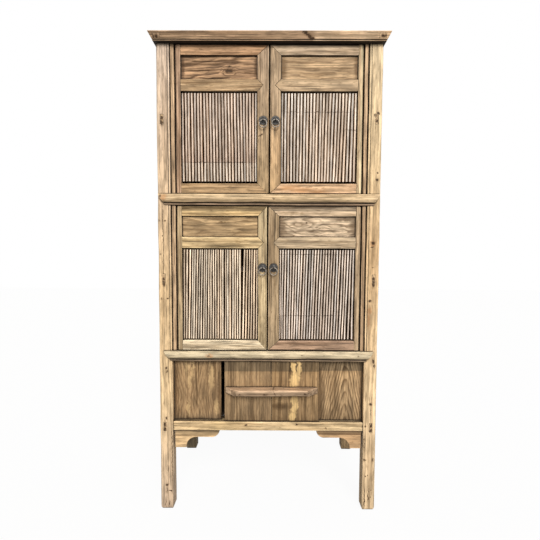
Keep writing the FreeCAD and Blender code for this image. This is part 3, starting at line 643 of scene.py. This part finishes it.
low_pine = old_pine(
    "lower_rail_pine", low_tone, grain="X", vein=0.4, streak=0.4, fade=0.35, shade_below=0.9,
    blush=[(-0.228, 0.6243, 0.018, 0.009)],
    marks=[(-0.23, 0.6243, 0.005, 0.0035), (0.13, 0.628, 0.003, 0.002), (0.216, 0.627, 0.0025, 0.0025),
        (0.348, 0.623, 0.004, 0.0025)],
    seed=5.0)
bottom_pine = old_pine(
    "bottom_rail_pine", bottom_tone, tone_axis="X", grain="X", vein=0.5, streak=0.45, fade=0.35, corner_dirt_and_shade=0.98,
    marks=[(-0.3725, 0.34, 0.002, 0.02), (0.3725, 0.34, 0.002, 0.02), (-0.087, 0.344, 0.006, 0.003),
        (0.113, 0.349, 0.004, 0.003), (0.2275, 0.334, 0.004, 0.003)],
    seed=7.1)
worn("mid_front_rail", mid_pine, THIN_EDGE, dict(axis="X", step=0.05, amount=0.0014, seed=6))
worn("lower_front_rail", low_pine, THIN_EDGE, dict(axis="X", step=0.05, amount=0.002, seed=7))
bottom_rail = worn("bottom_front_rail", bottom_pine, BOTTOM_EDGE, dict(axis="X", step=0.05, amount=0.0014, seed=8),
                   true_back=True)
# The track behind the rail's front lip is darkened: dirt and painted shade
darken_tracks(bottom_rail, TRACK_FRONT)
print("3 rails")

# %% Finish the brackets and the jambs
STICK_EDGE = 0.0012
# The bands are painted shadow under the bottom rail, a little paler at the brackets' feet
bracket_shades = (
    (0.255, 1.12), (0.275, 1.05), (0.299, 1.0), (0.304, 0.85), (0.311, 0.55), (0.318, 0.38), (0.325, 0.32))
for hand, tone, vein, streak, seed in (("left", (0.68, 0.475, 0.26), 0.4, 0.45, 8.3),
                                       ("right", (0.59, 0.38, 0.205), 0.5, 0.5, 9.6)):
    bands = [(height, tinted(tone, (light,) * 3)) for height, light in bracket_shades]
    bracket_pine = old_pine("bracket_pine_" + hand, bands, grain="X", vein=vein, streak=streak, seed=seed)
    worn("apron_bracket_" + hand, bracket_pine, STICK_EDGE)
jamb_pine = old_pine(
    "jamb_pine", (0.53, 0.365, 0.22), vein=0.5, streak=0.55, fade=0.4, crack=0.6, crevice_dirt_and_shade=0.75, seed=10.2)
worn("jamb_strips", jamb_pine, STICK_EDGE, dict(axis="Z", step=0.06, amount=0.0012, seed=9))
print("2 brackets, jambs")

# %% [markdown]
# ## Sides, back and inside
# The sides are thin boards in a frame of rails, and the back is rougher still. Nobody planed the inside,
# so the boards there keep more grey and more dirt. The base floor is painted near black as the shade in the store,
# and takes no wear.

# %% Finish the sides, the back and the inside
FLOOR_EDGE = 0.0001
side_pine = old_pine(
    "side_rail_pine", (0.66, 0.47, 0.28), grain="Y", vein=0.45, streak=0.4, marks=left_tenons + right_tenons,
    seed=11.4)
side_board = old_pine("side_board_pine", (0.52, 0.36, 0.21), cut=FLAT_SAWN, vein=0.6, streak=0.45, seed=12.7)
back_board = old_pine(
    "back_board_pine", (0.36, 0.26, 0.165), cut=FLAT_SAWN, vein=0.55, streak=0.5, fade=0.5, seed=13.8)
inner_board = old_pine(
    "inner_board_pine", (0.42, 0.3, 0.185), grain="X", cut=FLAT_SAWN, vein=0.5, streak=0.45, fade=0.4, seed=14.9)
rear_pine = old_pine("rear_rail_pine", (0.42, 0.3, 0.185), grain="X", vein=0.5, streak=0.5, fade=0.4, seed=15.5)
store_floor_shade = old_pine(
    "store_floor_shade_pine", (0.028, 0.02, 0.014), grain="X", cut=FLAT_SAWN, vein=0.5, streak=0.45, seed=14.1)
for hand in ("left", "right"):
    worn(hand + "_side_rails", side_pine, STICK_EDGE)
    worn(hand + "_side_panels", side_board, THIN_EDGE)
worn("rear_rails", rear_pine, STICK_EDGE)
worn("back_boards", back_board, THIN_EDGE)
worn("base_floor_boards", store_floor_shade, FLOOR_EDGE)
for node in ("top_boards", "lower_floor_boards", "lower_shelf_boards", "upper_floor_boards", "upper_shelf_boards"):
    worn(node, inner_board, THIN_EDGE)
print("sides, back, floors and shelves")

# %% [markdown]
# ## Low store
# The two fixed boards and the two sliding boards are the darkest wood. The fixed ones are flat-sawn, so their lines
# rise in tall arches, and a level that peaks along an upright line makes those. Damp has left the boards darker
# along the top, and where the old surface came off the wood is a bare yellow.

# %% Finish the store boards
PANEL_EDGE = 0.0022
first_bands = [
    (0.35, (0.2, 0.14, 0.08)), (0.39, (0.37, 0.24, 0.125)), (0.56, (0.38, 0.245, 0.125)),
    (0.61, (0.28, 0.19, 0.107))]
second_bands = [
    (0.35, (0.29, 0.195, 0.105)), (0.44, (0.4, 0.27, 0.146)), (0.545, (0.465, 0.308, 0.162)),
    (0.556, (0.41, 0.27, 0.14)), (0.559, (0.215, 0.152, 0.086)), (0.61, (0.215, 0.152, 0.086))]
third_bands = [(height, tinted(tone, (0.88, 0.85, 0.8))) for height, tone in second_bands]
fourth_bands = [(height, tinted(tone, (1.1, 1.1, 1.1))) for height, tone in second_bands]
first_bare = [
    (-0.322, 0.575, 0.01, 0.04), (-0.3, 0.565, 0.007, 0.05), (-0.312, 0.515, 0.008, 0.03),
    (-0.318, 0.405, 0.008, 0.035), (-0.225, 0.53, 0.012, 0.06), (-0.205, 0.41, 0.01, 0.035)]
third_bare = [
    (0.097, 0.57, 0.01, 0.035), (0.122, 0.57, 0.008, 0.035), (0.105, 0.525, 0.02, 0.035),
    (0.106, 0.425, 0.014, 0.045), (0.098, 0.378, 0.018, 0.022)]
# Painted shade: the dark stripes along the fixed boards' edges and the first board's foot, beside the posts, the
# sliding panel and the track
first_board = old_pine(
    "fixed_board_left_pine", first_bands, cut=ARCHED, vein=0.55, streak=0.75, fade=0.55, deep=0.32,
    stains_and_shade=[(-0.372, 0.48, 0.014, 0.15), (-0.19, 0.48, 0.01, 0.15), (-0.28, 0.353, 0.11, 0.012)], bare=first_bare,
    bare_tone=(0.66, 0.45, 0.22), bare_share=0.5, tall=(-0.316, 0.455, 0.011, 0.055), seed=16.1)
second_board = old_pine(
    "panel_board_left_pine", second_bands, vein=0.5, streak=0.55, fade=0.6, deep=0.32, crevice_dirt_and_shade=0.9, seed=17.3)
third_board = old_pine(
    "panel_board_right_pine", third_bands, vein=0.5, streak=0.6, fade=0.6, deep=0.32, crevice_dirt_and_shade=0.9,
    stains_and_shade=[(0.047, 0.418, 0.034, 0.014)], bare=third_bare, bare_tone=(0.84, 0.575, 0.26), seed=18.4)
fourth_board = old_pine(
    "fixed_board_right_pine", fourth_bands, cut=ARCHED, vein=1.0, streak=0.6, fade=0.5, deep=0.28,
    stains_and_shade=[(0.2, 0.47, 0.02, 0.15), (0.374, 0.48, 0.01, 0.15)], tall=(0.303, 0.75, 0.01, 0.05), seed=19.2)
worn("fixed_board_left", first_board, STICK_EDGE)
worn("panel_board_left", second_board, PANEL_EDGE)
worn("panel_board_right", third_board, PANEL_EDGE)
worn("fixed_board_right", fourth_board, STICK_EDGE)
print("store boards")

# %% [markdown]
# ## Handle bar
# The bar across the sliding panel was hewn with an adze from a knotty branch. It is sliced often and its slices are
# shifted more than a planed stick's, and its edges are rounded wider. A crack runs over its middle.

# %% Finish the handle bar
BAR_EDGE = 0.0032
bar_marks = [
    (-0.1085, 0.4775, 0.005, 0.003), (-0.0106, 0.4785, 0.007, 0.003), (0.0527, 0.479, 0.006, 0.0025),
    (0.1428, 0.48, 0.005, 0.004), (0.0205, 0.4915, 0.0016, 0.004), (0.024, 0.485, 0.0016, 0.006),
    (0.0255, 0.476, 0.0016, 0.008)]
# The pale top band is a painted highlight, where light falls on the bar's top
bar_tone = [
    (0.47, (0.35, 0.245, 0.16)), (0.486, (0.34, 0.24, 0.155)), (0.4935, (0.6, 0.41, 0.26)),
    (0.495, (0.6, 0.41, 0.26))]
bar_pine = old_pine(
    "handle_bar_pine", bar_tone, grain="X", vein=0.5, streak=0.45, fade=0.35, corner_dirt_and_shade=0.1, crevice_dirt_and_shade=0.25,
    marks=bar_marks, bare=[(-0.155, 0.484, 0.012, 0.006)], bare_tone=(0.66, 0.47, 0.3), seed=20.6)
worn("panel_handle_bar", bar_pine, BAR_EDGE, dict(axis="X", step=0.018, amount=0.005, seed=3))
print("handle bar")

# %% [markdown]
# ## Doors
# Each door is a mitred frame with arrow-shaped shoulders at its middle rail. Every stick was cut from another plank,
# so every stick gets its own tone. The eased edges leave a fine groove at each joint, and dirt with painted shade
# makes it a dark line. A door's three rails are one piece, so their tones are bands by height, with a band of
# painted shadow, with some stain, under the frame above.

# %% Tones and marks of the doors
door_tones = {
    "upper_left": dict(
        hinge=(0.475, 0.313, 0.2), panel=(0.515, 0.315, 0.175), low=(0.52, 0.348, 0.188), mid=(0.6, 0.413, 0.235),
        top=(0.525, 0.315, 0.172), meet=[(1.25, (0.45, 0.318, 0.175)), (1.8, (0.455, 0.325, 0.215))]),
    "upper_right": dict(
        hinge=(0.82, 0.595, 0.37), panel=(0.63, 0.435, 0.252), low=(0.725, 0.48, 0.285), mid=(0.56, 0.405, 0.25),
        top=(0.645, 0.49, 0.332), meet=[(1.25, (0.63, 0.42, 0.22)), (1.45, (0.61, 0.41, 0.23)),
                                        (1.55, (0.5, 0.36, 0.225)), (1.8, (0.5, 0.36, 0.225))]),
    "lower_left": dict(
        hinge=(0.5, 0.37, 0.215), meet=(0.6, 0.465, 0.275), panel=(0.54, 0.372, 0.2), low=(0.89, 0.74, 0.515),
        mid=(0.78, 0.58, 0.316), top=(0.7, 0.495, 0.25)),
    "lower_right": dict(
        hinge=(0.52, 0.375, 0.23), meet=(0.445, 0.322, 0.193), panel=(0.68, 0.52, 0.355), low=(0.44, 0.29, 0.193),
        mid=(0.55, 0.42, 0.275), top=(0.78, 0.59, 0.395)),
}
# How dark the painted shadow from the frame above makes the top of each door's top rail
top_rail_shadow = {"upper_left": 0.7, "upper_right": 0.4, "lower_left": 0.4, "lower_right": 0.4}
rail_steps = {"upper": (1.25, 1.46, 1.71, 1.791, 1.8), "lower": (0.64, 0.86, 1.12, 1.18, 1.205)}
panel_arches = {
    "upper_left": [(-0.153, 1.706, 0.014, 0.007)],
    "lower_right": [(0.12, 1.12, 0.03, 0.012), (0.205, 1.108, 0.06, 0.007)]}
panel_marks = {
    "upper_left": [(-0.153, 1.706, 0.012, 0.005), (-0.15, 1.722, 0.005, 0.003)],
    "lower_right": [(0.145, 1.138, 0.003, 0.003)]}
panel_stains = {
    "upper_left": [(-0.328, 1.716, 0.01, 0.05), (-0.049, 1.716, 0.008, 0.05), (-0.152, 1.706, 0.017, 0.009)],
    "upper_right": [(0.05, 1.715, 0.016, 0.05), (0.33, 1.72, 0.012, 0.05)],
    "lower_left": [(-0.18, 1.139, 0.03, 0.003)],
    "lower_right": [(0.042, 1.122, 0.026, 0.06), (0.332, 1.122, 0.022, 0.06), (0.29, 1.152, 0.05, 0.009)]}
panel_veins = {
    "upper_left": (1.0, 0.17, 0.85), "upper_right": (0.65, 0.3, 0.5), "lower_left": (0.75, 0.3, 0.5),
    "lower_right": (0.95, 0.28, 0.6)}
rail_blush = {
    "upper_right": [(0.075, 1.27, 0.035, 0.01), (0.125, 1.262, 0.05, 0.011), (0.185, 1.256, 0.04, 0.007),
        (0.1, 1.275, 0.03, 0.006)]}
stile_marks = {"upper_left": [(-0.029, 1.468, 0.005, 0.003), (-0.035, 1.464, 0.005, 0.002)]}
print(len(door_tones), "doors to finish")

# %% Finish the door frames and panels
FRAME_EDGE = 0.0021
DOOR_PANEL_EDGE = 0.0008
HARD_STEP, SOFT_STEP = 0.001, 0.004
for number, (door, tones) in enumerate(door_tones.items()):
    low_z, split_low, split_high, shadow_z, top_z = rail_steps[door.split("_")[0]]
    rail_shadow = tinted(tones["top"], (top_rail_shadow[door],) * 3)
    rail_bands = [
        (low_z, tones["low"]), (split_low, tones["low"]), (split_low + HARD_STEP, tones["mid"]),
        (split_high, tones["mid"]), (split_high + HARD_STEP, tones["top"]), (shadow_z, tones["top"]),
        (shadow_z + SOFT_STEP, rail_shadow), (top_z, rail_shadow)]
    seed = 21.0 + number * 3.3
    rails = old_pine(
        door + "_rail_pine", rail_bands, grain="X", vein=0.6, streak=0.65, fade=0.45, crack=0.6,
        blush=rail_blush.get(door, ()), seed=seed)
    hinge = old_pine(
        door + "_hinge_pine", tones["hinge"], vein=0.6, streak=0.65, fade=0.45, crack=0.7, seed=seed + 0.7)
    meet = old_pine(
        door + "_meeting_pine", tones["meet"], vein=0.55, streak=0.6, fade=0.45, crack=0.6,
        marks=stile_marks.get(door, ()), seed=seed + 1.5)
    vein, deep, streak = panel_veins[door]
    panel = old_pine(
        door + "_panel_pine", tones["panel"], grain="X", cut=FLAT_SAWN, vein=vein, streak=streak, fade=0.4,
        deep=deep, arches=panel_arches.get(door, ()), marks=panel_marks.get(door, ()),
        stains_and_shade=panel_stains.get(door, ()), seed=seed + 2.2)
    worn(door + "_door_rails", rails, FRAME_EDGE)
    worn(door + "_hinge_stile", hinge, FRAME_EDGE)
    worn(door + "_meeting_stile", meet, FRAME_EDGE)
    worn(door + "_door_panel", panel, DOOR_PANEL_EDGE)
print("4 doors")

# %% [markdown]
# ## Slats
# The slats were split by hand, so no two are the same: they differ in width and bow a little, and their lean changes
# along the row as in the photograph. One slat is modelled from a block, rounded along its front, and copied for every
# place, each copy then bent its own way. Its front keeps its full tone and its sides darken to brown: dust, and
# painted shade where the round turns away from the light. So every copy carries a colour for each of its points.


# %% Model one slat
SLAT_DEPTH = 0.007
SLAT_ROUNDING = 0.36     # share of the width


def slat_blank(width, height):
    bpy.ops.object.select_all(action="DESELECT")
    bpy.ops.mesh.primitive_cube_add(size=1, location=(0, 0, 0))
    slat = bpy.context.active_object
    slat.scale = (width, SLAT_DEPTH, height)
    bpy.ops.object.transform_apply(location=False, rotation=False, scale=True)
    start_edit(slat, "EDGE")
    bpy.ops.mesh.select_all(action="DESELECT")
    shape = bmesh.from_edit_mesh(slat.data)
    for edge in shape.edges:
        edge.select = abs(edge.verts[0].co.z - edge.verts[1].co.z) > height / 2
    bmesh.update_edit_mesh(slat.data)
    bpy.ops.mesh.subdivide(number_cuts=5)
    bpy.ops.mesh.select_all(action="DESELECT")
    shape = bmesh.from_edit_mesh(slat.data)
    for edge in shape.edges:
        upright = abs(edge.verts[0].co.z - edge.verts[1].co.z) > height / 20
        edge.select = upright and edge.verts[0].co.y < 0
    bmesh.update_edit_mesh(slat.data)
    bpy.ops.mesh.bevel(offset=width * SLAT_ROUNDING, segments=3, affect="EDGES", clamp_overlap=True)
    bpy.ops.object.mode_set(mode="OBJECT")
    return slat


# %% Bend a copied slat its own way
SIDE_FADE = (0.95, 1.3, 1.75)      # how soon red, green and blue fade towards a slat's sides
FULL_TONE_FRONT = 0.4
RIPPLE, RIPPLES = 0.0004, 9


def bend_slat(slat, width, foot, head, look, draw):
    """Set a slat between its foot and its head, with its own width, bow and tone."""
    wide = 1 + look["mess"] * draw.uniform(-0.2, 0.2)
    belly = draw.uniform(-look["bow"], look["bow"])
    out = draw.uniform(-0.0006, 0.0006)
    phase = draw.uniform(0, 6.3)
    pale = 1 - look["vary"] * draw.uniform(-0.4, 1)
    warm = draw.uniform(-0.05, 0.05)
    tint = slat.data.color_attributes.new("slat_tone", "FLOAT_COLOR", "POINT")
    for vertex, point in zip(slat.data.vertices, tint.data):
        t = vertex.co.z / (head.z - foot.z) + 0.5
        # Towards the sides the colour darkens to the side colour: dust and painted shade
        side = min(max(0, abs(vertex.co.x) / width * 2 - FULL_TONE_FRONT) / (1 - FULL_TONE_FRONT), 1)
        kept = [pale * warmth * (1 - side) ** power for warmth, power in zip((1 + warm, 1, 1 - warm), SIDE_FADE)]
        point.color = [front_colour + side * side_colour for front_colour, side_colour in zip(kept, look["side_dust_and_shade"])] + [1]
        sway = belly * math.sin(math.pi * t) + RIPPLE * math.sin(RIPPLES * t + phase)
        middle = foot.lerp(head, t)
        vertex.co = (middle.x + vertex.co.x * wide + sway, middle.y + vertex.co.y + out, middle.z)


print("slat tools ready")


# %% Old split wood for the slats
def slat_wood(name, tone, ties, seed):
    paint = old_pine(name, tone, vein=0.2, streak=0.3, fade=0.3, crack=0.3, corner_dirt_and_shade=0.3, marks=ties, seed=seed)
    tree = paint.node_tree
    shader = next(node for node in tree.nodes if node.type == "BSDF_PRINCIPLED")
    below = shader.inputs["Base Color"].links[0].from_socket
    own = shade(tree, "Attribute", attribute_name="slat_tone").outputs["Color"]
    tree.links.new(vector(tree, "MULTIPLY", below, own), shader.inputs["Base Color"])
    return paint


# %% What each door's slats look like
# A row of leans holds a share of the field's width and how far the head stands to the right of the foot.
# A pivot of 1 keeps the heads evenly spaced and a pivot of 0 the feet.
# Colours of the slats' sides: dust and painted shade together
TAN = (0.45, 0.28, 0.165)
BROWN = (0.38, 0.22, 0.118)
UMBER = (0.12, 0.07, 0.032)
BLACK_BROWN = (0.08, 0.048, 0.024)
lattice_looks = {
    "upper_left": dict(
        count=25, width=0.86, bow=0.001, mess=0.3, vary=0.12, side_dust_and_shade=BROWN, seed=31, lost=None, foot=0.009, pivot=1,
        leans=((0, -0.002), (0.4, -0.0045), (0.8, -0.006), (1, 0)),
        tone=[(1.28, (0.81, 0.71, 0.6)), (1.364, (0.81, 0.7, 0.59)), (1.368, (0.67, 0.53, 0.43)),
              (1.44, (0.735, 0.605, 0.5)), (1.63, (0.755, 0.635, 0.54))],
        ties=[(-0.19, 1.366, 0.13, 0.001)]),
    "upper_right": dict(
        count=24, width=0.84, bow=0.001, mess=0.3, vary=0.12, side_dust_and_shade=TAN, seed=32, lost=None, foot=0.009, pivot=1,
        leans=((0, 0.0013), (0.5, 0.004), (0.8, 0.0105), (1, 0.004)),
        tone=[(1.28, (0.79, 0.69, 0.595)), (1.45, (0.78, 0.68, 0.585)), (1.63, (0.85, 0.78, 0.7))],
        ties=[(0.19, 1.5543, 0.14, 0.0008), (0.315, 1.488, 0.03, 0.001)]),
    "lower_left": dict(
        count=31, width=0.8, bow=0.0007, mess=0.9, vary=0.28, side_dust_and_shade=UMBER, seed=33, lost=24, foot=0.006, pivot=0,
        leans=((0, 0.003), (0.08, 0.008), (0.2, 0.008), (0.42, 0.001), (1, 0.001)),
        tone=[(0.68, (0.95, 0.8, 0.63)), (1.04, (0.93, 0.79, 0.62))], ties=()),
    "lower_right": dict(
        count=28, width=0.73, bow=0.001, mess=0.35, vary=0.15, side_dust_and_shade=BLACK_BROWN, seed=34, lost=None, foot=0.006, pivot=1,
        leans=((0, 0.002), (0.25, 0.009), (0.5, 0.011), (0.93, 0.01), (1, 0.003)),
        tone=[(0.68, (0.82, 0.73, 0.665)), (1.04, (0.86, 0.775, 0.7))],
        ties=[(0.18, 1.017, 0.14, 0.0008), (0.18, 0.7795, 0.12, 0.0008)]),
}
FIELD_OUT = 0.3335       # a lattice's edges beside the hinge stile and beside the meeting stile
FIELD_IN = {"upper": 0.044, "lower": 0.040}
FIELD_HEIGHT = {"upper": (1.286, 1.629), "lower": (0.681, 1.04)}

# %% Set out one row of slats
SLAT_LEVEL = -0.2235
HEAD_GAP = 0.0055
LOOSE_FOOT, LOOSE_HEAD = 0.75, 0.15     # how far the next slat has slid towards a lost one, in pitches


def lean_at(rows, share):
    """Lean between the two nearest of the rows."""
    for (low, first), (high, last) in zip(rows, rows[1:]):
        if share <= high:
            return first + (last - first) * (share - low) / (high - low)


def slat_row(look, left, right, bottom, top):
    draw = random.Random(look["seed"])
    pitch = (right - left) / look["count"]
    width = pitch * look["width"]
    foot_z, head_z = bottom + look["foot"], top - HEAD_GAP
    blank = slat_blank(width, head_z - foot_z)
    row = []
    for index in range(look["count"]):
        x = left + pitch * (index + 0.5) + look["mess"] * draw.uniform(-0.0009, 0.0009)
        lean = lean_at(look["leans"], index / (look["count"] - 1))
        ends = (x - look["pivot"] * lean, x + (1 - look["pivot"]) * lean)
        foot_x, head_x = [min(max(end, left + width / 2), right - width / 2) for end in ends]
        foot, head = Vector((foot_x, SLAT_LEVEL, foot_z)), Vector((head_x, SLAT_LEVEL, head_z))
        if index == look["lost"]:
            continue
        if look["lost"] and index > look["lost"]:
            slid = 1 - (index - look["lost"] - 1) / (look["count"] - look["lost"] - 1)
            foot.x -= LOOSE_FOOT * pitch * slid
            head.x -= LOOSE_HEAD * pitch * slid
        slat = bpy.data.objects.new("slat", blank.data.copy())
        bpy.context.scene.collection.objects.link(slat)
        bend_slat(slat, width, foot, head, look, draw)
        row.append(slat)
    bpy.data.objects.remove(blank)
    return row


# %% Set in a cross bar
BAR_LEVEL = -0.217
BAR_TENONS, BAR_DEPTH, BAR_HEIGHT = 0.012, 0.006, 0.018
CROSS_BAR_EDGE = 0.0015
# The bars' fronts are painted nearly black as shade, where they sit behind the slats
BAR_FRONT_SHADE, BAR_BACK = (0.03, 0.024, 0.02, 1), (0.42, 0.33, 0.26, 1)


def cross_bar(left, right, z):
    bpy.ops.object.select_all(action="DESELECT")
    bpy.ops.mesh.primitive_cube_add(size=1, location=((left + right) / 2, BAR_LEVEL, z))
    bar = bpy.context.active_object
    bar.scale = (right - left + BAR_TENONS, BAR_DEPTH, BAR_HEIGHT)
    bpy.ops.object.transform_apply(location=True, rotation=False, scale=True)
    tint = bar.data.color_attributes.new("slat_tone", "FLOAT_COLOR", "POINT")
    for vertex, point in zip(bar.data.vertices, tint.data):
        point.color = BAR_FRONT_SHADE if vertex.co.y < BAR_LEVEL else BAR_BACK
    ease_edges(bar, CROSS_BAR_EDGE)
    return bar


# %% Hang the slats of each door
BAR_SHARES = (0.25, 0.78)         # the two bars' places, in shares of the field's height
WOOD_SEED = 0.37
for door, look in lattice_looks.items():
    storey, hand = door.split("_")
    left, right = (-FIELD_OUT, -FIELD_IN[storey]) if hand == "left" else (FIELD_IN[storey], FIELD_OUT)
    bottom, top = FIELD_HEIGHT[storey]
    row = slat_row(look, left, right, bottom, top)
    bars = [cross_bar(left, right, bottom + (top - bottom) * share) for share in BAR_SHARES]
    bpy.ops.object.select_all(action="DESELECT")
    for piece in row + bars:
        piece.select_set(True)
    bpy.context.view_layer.objects.active = row[0]
    bpy.ops.object.join()
    lattice = bpy.context.active_object
    lattice.name = door + "_slats"
    bpy.ops.object.shade_smooth_by_angle(angle=math.radians(50))
    wood = slat_wood(door + "_slat_wood", look["tone"], look["ties"], look["seed"] * WOOD_SEED)
    settle(lattice, door + "_lattice", wood)
    print(lattice.name, len(row), "slats")

# %% [markdown]
# ## Iron pulls
# The ring pulls are forged iron, nearly black, with a little rust in the hollows. Fingers keep the rings brighter
# than the plates, so the same recipe is used twice with another tone.

# %% Finish the iron
HOLLOW = (0.006, 0.005, 0.004)


def forged_iron(name, tone, rust_tone, smooth):
    paint = new_paint(name)
    tree = paint.node_tree
    place = shade(tree, "TexCoord").outputs["Object"]
    forged = {"Scale": 700.0, "Detail": 4.0, "Roughness": 0.65}
    pits = shade(tree, "TexNoise", {"Vector": place}, forged).outputs["Fac"]
    rust = shade(tree, "TexNoise", {"Vector": place}, {"Scale": 190.0, "Detail": 3.0}).outputs["Fac"]
    colour = laid_over(tree, tone, [(rust_tone, remap(tree, rust, 0.45, 0.65), 1.0),
                                    (HOLLOW, hidden_corner(tree, 0.006, 0.3, 0.9), 0.9)])
    rough = remap(tree, pits, 0.0, 1.0, smooth, smooth + 0.3)
    bump = shade(tree, "Bump", {"Height": pits}, {"Strength": 0.5, "Distance": 0.0005})
    iron = shade(tree, "BsdfPrincipled", {"Base Color": colour, "Roughness": rough, "Normal": bump.outputs[0]},
                 {"Metallic": 0.6})
    shade(tree, "OutputMaterial", {0: iron.outputs[0]})
    return paint


plate_iron = forged_iron("plate_iron", (0.07, 0.068, 0.065), (0.035, 0.028, 0.022), 0.35)
ring_iron = forged_iron("ring_iron", (0.3, 0.27, 0.23), (0.12, 0.09, 0.065), 0.25)
for door in door_tones:
    for part, iron in (("_pull_plate", plate_iron), ("_pull_ring", ring_iron)):
        for slot in frame["nodes"][door + part].material_slots:
            slot.material = iron
print("4 pulls")

# %% [markdown]
# ## Last update
# The dressed cabinet must be no larger than its solids.

# %% Update the scene
bpy.context.view_layer.update()
